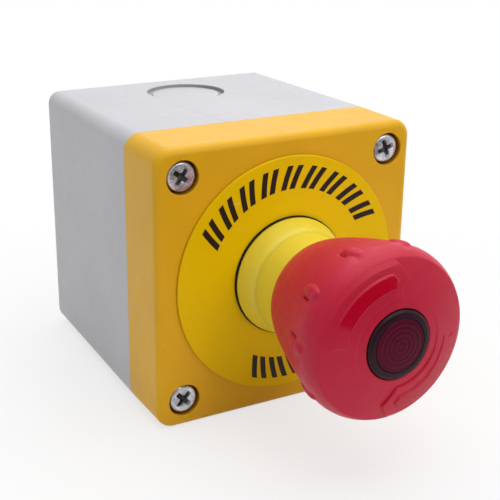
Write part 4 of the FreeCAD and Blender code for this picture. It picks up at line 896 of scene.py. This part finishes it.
# The dark grooves named below are painted shade.
print("cover_yellow has dark seats, base_grey has dusty grooves and a fine line")

# %% [markdown]
# ## Box and collar with softened edges
# The box comes from an injection mould, and no moulded edge is razor sharp. Building it again would
# only repeat the measured shape. So these pieces copy it, join its separate faces and roll a
# hair-thin round along the sharp edges, where light then catches.

# %% Soften the moulded box and collar
EDGE_WIDTH, STEEP, WALL_INSIDE, BACK_DEPTH = 0.0002, 0.5, 32.9, -1


def read(values, name, wide=1, kind=float):
    """One property of all points, edges, corners or faces as an array, with a row for each."""
    flat = np.empty(len(values) * wide, kind)
    values.foreach_get(name, flat)
    return flat.reshape(-1, wide)


def in_the_box(x, y, z):
    """True between the walls of the base and in front of its back, where nobody looks."""
    return (np.maximum(abs(x), abs(z)) < WALL_INSIDE) & (y < BACK_DEPTH)


def softened(name, node, slot, hidden=lambda x, y, z: x > math.inf):
    """A copy of a measured piece with joined faces and a small round along each edge between two faces
    that stand over 60 degrees apart: the product of their normals is under a half. Edges whose middle
    is hidden stay as they are."""
    made = bpy.data.objects.new(name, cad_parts[node].data.copy())
    mesh = made.data
    mesh.materials.clear()
    close_poles(mesh, 2e-7)
    beside = np.argsort(read(mesh.loops, "edge_index", kind=int)[:, 0], kind="stable").reshape(-1, 2) // 3
    first, second = np.moveaxis(read(mesh.polygons, "normal", 3)[beside], 1, 0)
    middle = read(mesh.vertices, "co", 3)[read(mesh.edges, "vertices", 2, int)].mean(axis=1) / MM
    steep = (np.sum(first * second, axis=1) < STEEP) & ~hidden(*middle.T)
    weights = mesh.attributes.new("bevel_weight_edge", "FLOAT", "EDGE")
    weights.data.foreach_set("value", steep.astype(float))
    present(made, "enclosure", FINISHES[slot], [node], crease=30)
    bevel = made.modifiers.new("edges", "BEVEL")
    bevel.width, bevel.segments, bevel.limit_method = EDGE_WIDTH, 2, "WEIGHT"
    flat = made.modifiers.new("flat_faces", "WEIGHTED_NORMAL")
    flat.weight, flat.keep_sharp = 100, True


softened("moulded_cover", "cover", "cover_yellow")
softened("moulded_base", "base_box", "base_grey", in_the_box)
softened("moulded_collar", "actuator_collar", "collar_yellow")

# %% [markdown]
# ## Knockout discs
# Where a cable may enter, the wall has a round plug that is broken out when it is needed. A groove
# around it leaves only a thin web. The measured recess gives the groove's floor and outer wall. The
# plug is a low disc with a broken edge that lies a little below the wall and follows its lean.

# %% Knockout discs
KNOCK_EDGE, KNOCK_BACK, KNOCK_FLOOR, WALL_Z, WALL_LEAN = 0.12, 0.65, 33.2, 34.26, 0.019


def plug_skin(up):
    """A disc about an upright axis: its top leans with the wall, its foot is flat. Up is 1 or -1."""
    turn = np.radians(np.linspace(0, 360, 96, endpoint=False))[:, None]
    round_off = np.radians(np.linspace(0, 90, 5))
    r = np.concatenate([[0.0], KNOCK_R - KNOCK_EDGE * (1 - np.sin(round_off)), [KNOCK_R, 0.0]])
    drop = np.concatenate([[0.0], KNOCK_EDGE * (1 - np.cos(round_off))])
    x, y = r * np.sin(turn), r * np.cos(turn)
    top = WALL_Z - KNOCK_BACK - WALL_LEAN * y[:, :-2] - drop
    z = np.hstack([top, np.full((len(turn), 2), KNOCK_FLOOR)])
    return skin(np.stack([x, KNOCK_Y + y, up * z], axis=-1), round_columns=False)


piece("knockout_plugs", [plug_skin(1), plug_skin(-1)], "enclosure", FINISHES["base_grey"])

# %% [markdown]
# ## The other measured pieces
# Inside the box the measured shapes are kept as they are, because they are hidden or already plain in
# form. Each gets the finish of its own material.

# %% Finishes of the other pieces
INNER = {
    "black_rubber": ["panel_gasket", "cover_gasket", "wiper_seal"],
    "nut_steel": ["mounting_nut", "holder_screws", "terminal_screws_left", "terminal_screws_right",
                  "lamp_screws"],
    "pin_steel": ["latch_pin_upper", "latch_pin_lower"],
    "contact_brass": ["contact_strips_left", "contact_strips_right", "lamp_strips", "contact_bridge_left",
                      "contact_bridge_right"],
    "block_dark": ["contact_block_left", "contact_block_right", "block_back_left", "block_back_right",
                   "lamp_block"],
    "holder_black": ["contact_holder"],
    "pusher_white": ["pusher", "head_stem"],
    "plunger_red": ["contact_plunger_left", "contact_plunger_right"],
    "guide_clear": ["light_guide"],
    "lamp_white": ["led_lamp"],
}
for slot, names in INNER.items():
    for name in names:
        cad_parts[name].data.materials.clear()
        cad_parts[name].data.materials.append(FINISHES[slot])
print({slot: len(names) for slot, names in INNER.items()})

# %% [markdown]
# ## White sheet
# The station stands on a white sheet that curves up behind it. The camera, mirrors and clear pieces
# all see plain white from every side, while the light on the object stays at a plain level. More
# light would make the sheet white too, but it would bleach the colours. Near the object the sheet
# stays partly cloth, which keeps the soft shadow.

# %% Sheet
SHEET_X, SHEET_FRONT, BEND_Y, BEND_R, SHEET_TOP = (-1600.0, 1600.0), -1500.0, 500, 400, 1600.0
UNDER, SHADOW_REACH, WHITE_PART = (0, -0.06, BOX_FOOT * MM), (0.05, 0.15), (0.7, 1.0)


def plain_sheet(name, across, y, z):
    """A sheet without thickness: a line of (y, z) points carried straight across."""
    grid = np.stack(np.broadcast_arrays(np.array(across)[:, None], y[None], z[None]), axis=-1)
    points, faces = skin(grid, False, False)
    mesh = bpy.data.meshes.new(name)
    mesh.from_pydata((points * MM).tolist(), [], faces.tolist())
    made = bpy.data.objects.new(name, mesh)
    bpy.context.scene.collection.objects.link(made)
    return made


def white_share(tree):
    """1 for rays that see plain white: from the camera, mirrored by a surface or passed through one."""
    ray = add(tree, "ShaderNodeLightPath").outputs
    share = ray["Is Camera Ray"]
    for kind in ("Is Glossy Ray", "Is Transmission Ray"):
        share = calc(tree, "MAXIMUM", share, ray[kind])
    return share


bend = np.radians(np.linspace(0, 90, 24))
sheet_y = np.concatenate([[SHEET_FRONT], BEND_Y + BEND_R * np.sin(bend), [float(BEND_Y + BEND_R)]])
sheet_z = np.concatenate([[0.0], BEND_R * (1 - np.cos(bend)), [SHEET_TOP]]) + BOX_FOOT
sheet = plain_sheet("studio_sheet", SHEET_X, sheet_y, sheet_z)
sheet.data.shade_smooth()

white = bpy.data.materials.new("studio_white")
white.use_nodes = True
tree = white.node_tree
tree.nodes.clear()
far = stretch(tree, *SHADOW_REACH, vector(tree, "DISTANCE", object_place(tree), UNDER), WHITE_PART)
share = calc(tree, "MULTIPLY", far, white_share(tree))
cloth = add(tree, "ShaderNodeBsdfDiffuse", {"Color": (0.86, 0.86, 0.86, 1)}).outputs[0]
glow = add(tree, "ShaderNodeEmission", {"Color": (1, 1, 1, 1), "Strength": 1.0}).outputs[0]
both = add(tree, "ShaderNodeMixShader", {0: share, 1: cloth, 2: glow}).outputs[0]
tree.links.new(both, add(tree, "ShaderNodeOutputMaterial").inputs["Surface"])
sheet.data.materials.append(white)
print(f"{sheet.name}: {len(sheet.data.polygons)} faces")

# %% [markdown]
# ## Light
# A large soft lamp hangs above, one stands in front and to the right, and a weak one behind, so top
# faces are bright and left faces darker. A black card lies in front of the object. It keeps light that
# the sheet throws back off the front, and its reflection keeps the polished arrows deep in colour.
# Darker pigments could do this in one view, but they would look wrong under other light.

# %% Surroundings
FILL = 0.33
world = bpy.data.worlds.new("studio")
bpy.context.scene.world = world
world.use_nodes = True
tree = world.node_tree
background = tree.nodes["Background"]
background.inputs["Color"].default_value = (1, 1, 1, 1)
tree.links.new(stretch(tree, 0, 1, white_share(tree), (FILL, 1.0)), background.inputs["Strength"])
print("the surroundings light the object at", FILL, "and look white")

# %% Card and lamps
CARD_X = (-200.0, 300.0)
CARD_Y, CARD_Z = np.array([-210.0, -480.0, -520.0, -520.0]), np.array([1.0, 1.0, 40.0, 200.0])
LAMP_AIM = Vector((0, -0.06, 0))
LAMPS = {
    "top_lamp": {"place": (0.10, 0.0, 0.70), "size": 0.9, "power": 4.7},
    "back_lamp": {"place": (0.42, 0.50, 0.36), "size": 0.5, "power": 0.3},
    "side_lamp": {"place": (0.26, -0.82, 0.44), "size": 0.6, "power": 3.2},
}


def soft_lamp(name, place, size, power):
    """A square lamp that faces the object; a large size gives soft shadows."""
    data = bpy.data.lights.new(name, "AREA")
    data.size, data.energy = size, power
    lamp = bpy.data.objects.new(name, data)
    lamp.location = place
    lamp.rotation_mode = "QUATERNION"
    lamp.rotation_quaternion = (LAMP_AIM - Vector(place)).to_track_quat("-Z", "Y")
    bpy.context.scene.collection.objects.link(lamp)


card = plain_sheet("dark_card", CARD_X, CARD_Y, CARD_Z + BOX_FOOT)
card.data.materials.append(plastic("card_black", (0.01, 0.01, 0.01), rough=0.8))
card.visible_camera = False
for name, lamp in LAMPS.items():
    soft_lamp(name, **lamp)
print(f"{card.name} and {len(LAMPS)} lamps")

# %% [markdown]
# ## Camera
# The camera stands where the photograph was taken from: its place, aim, roll and lens were worked out
# from the box edges, the screws and the round pieces. The plain view transform shows colours as written.

# %% Camera
CAMERA_AT = Vector((-0.12847178, -0.28398700, 0.09778235))
CAMERA_AIM = Vector((-0.01055324, -0.074, 0.00789291))
CAMERA_ROLL, LENS, SENSOR, NEAREST = math.radians(0.81446), 77.582, 36.0, 0.01
camera = bpy.data.objects.new("camera", bpy.data.cameras.new("camera"))
camera.data.lens, camera.data.sensor_width, camera.data.clip_start = LENS, SENSOR, NEAREST
camera.location = CAMERA_AT
camera.rotation_mode = "QUATERNION"
level = (CAMERA_AIM - CAMERA_AT).to_track_quat("-Z", "Y")
camera.rotation_quaternion = level @ Quaternion((0, 0, 1), CAMERA_ROLL)
bpy.context.scene.collection.objects.link(camera)
bpy.context.scene.camera = camera
bpy.context.scene.view_settings.view_transform = "Standard"
print(f"camera {(CAMERA_AIM - CAMERA_AT).length:.3f} m from its aim")
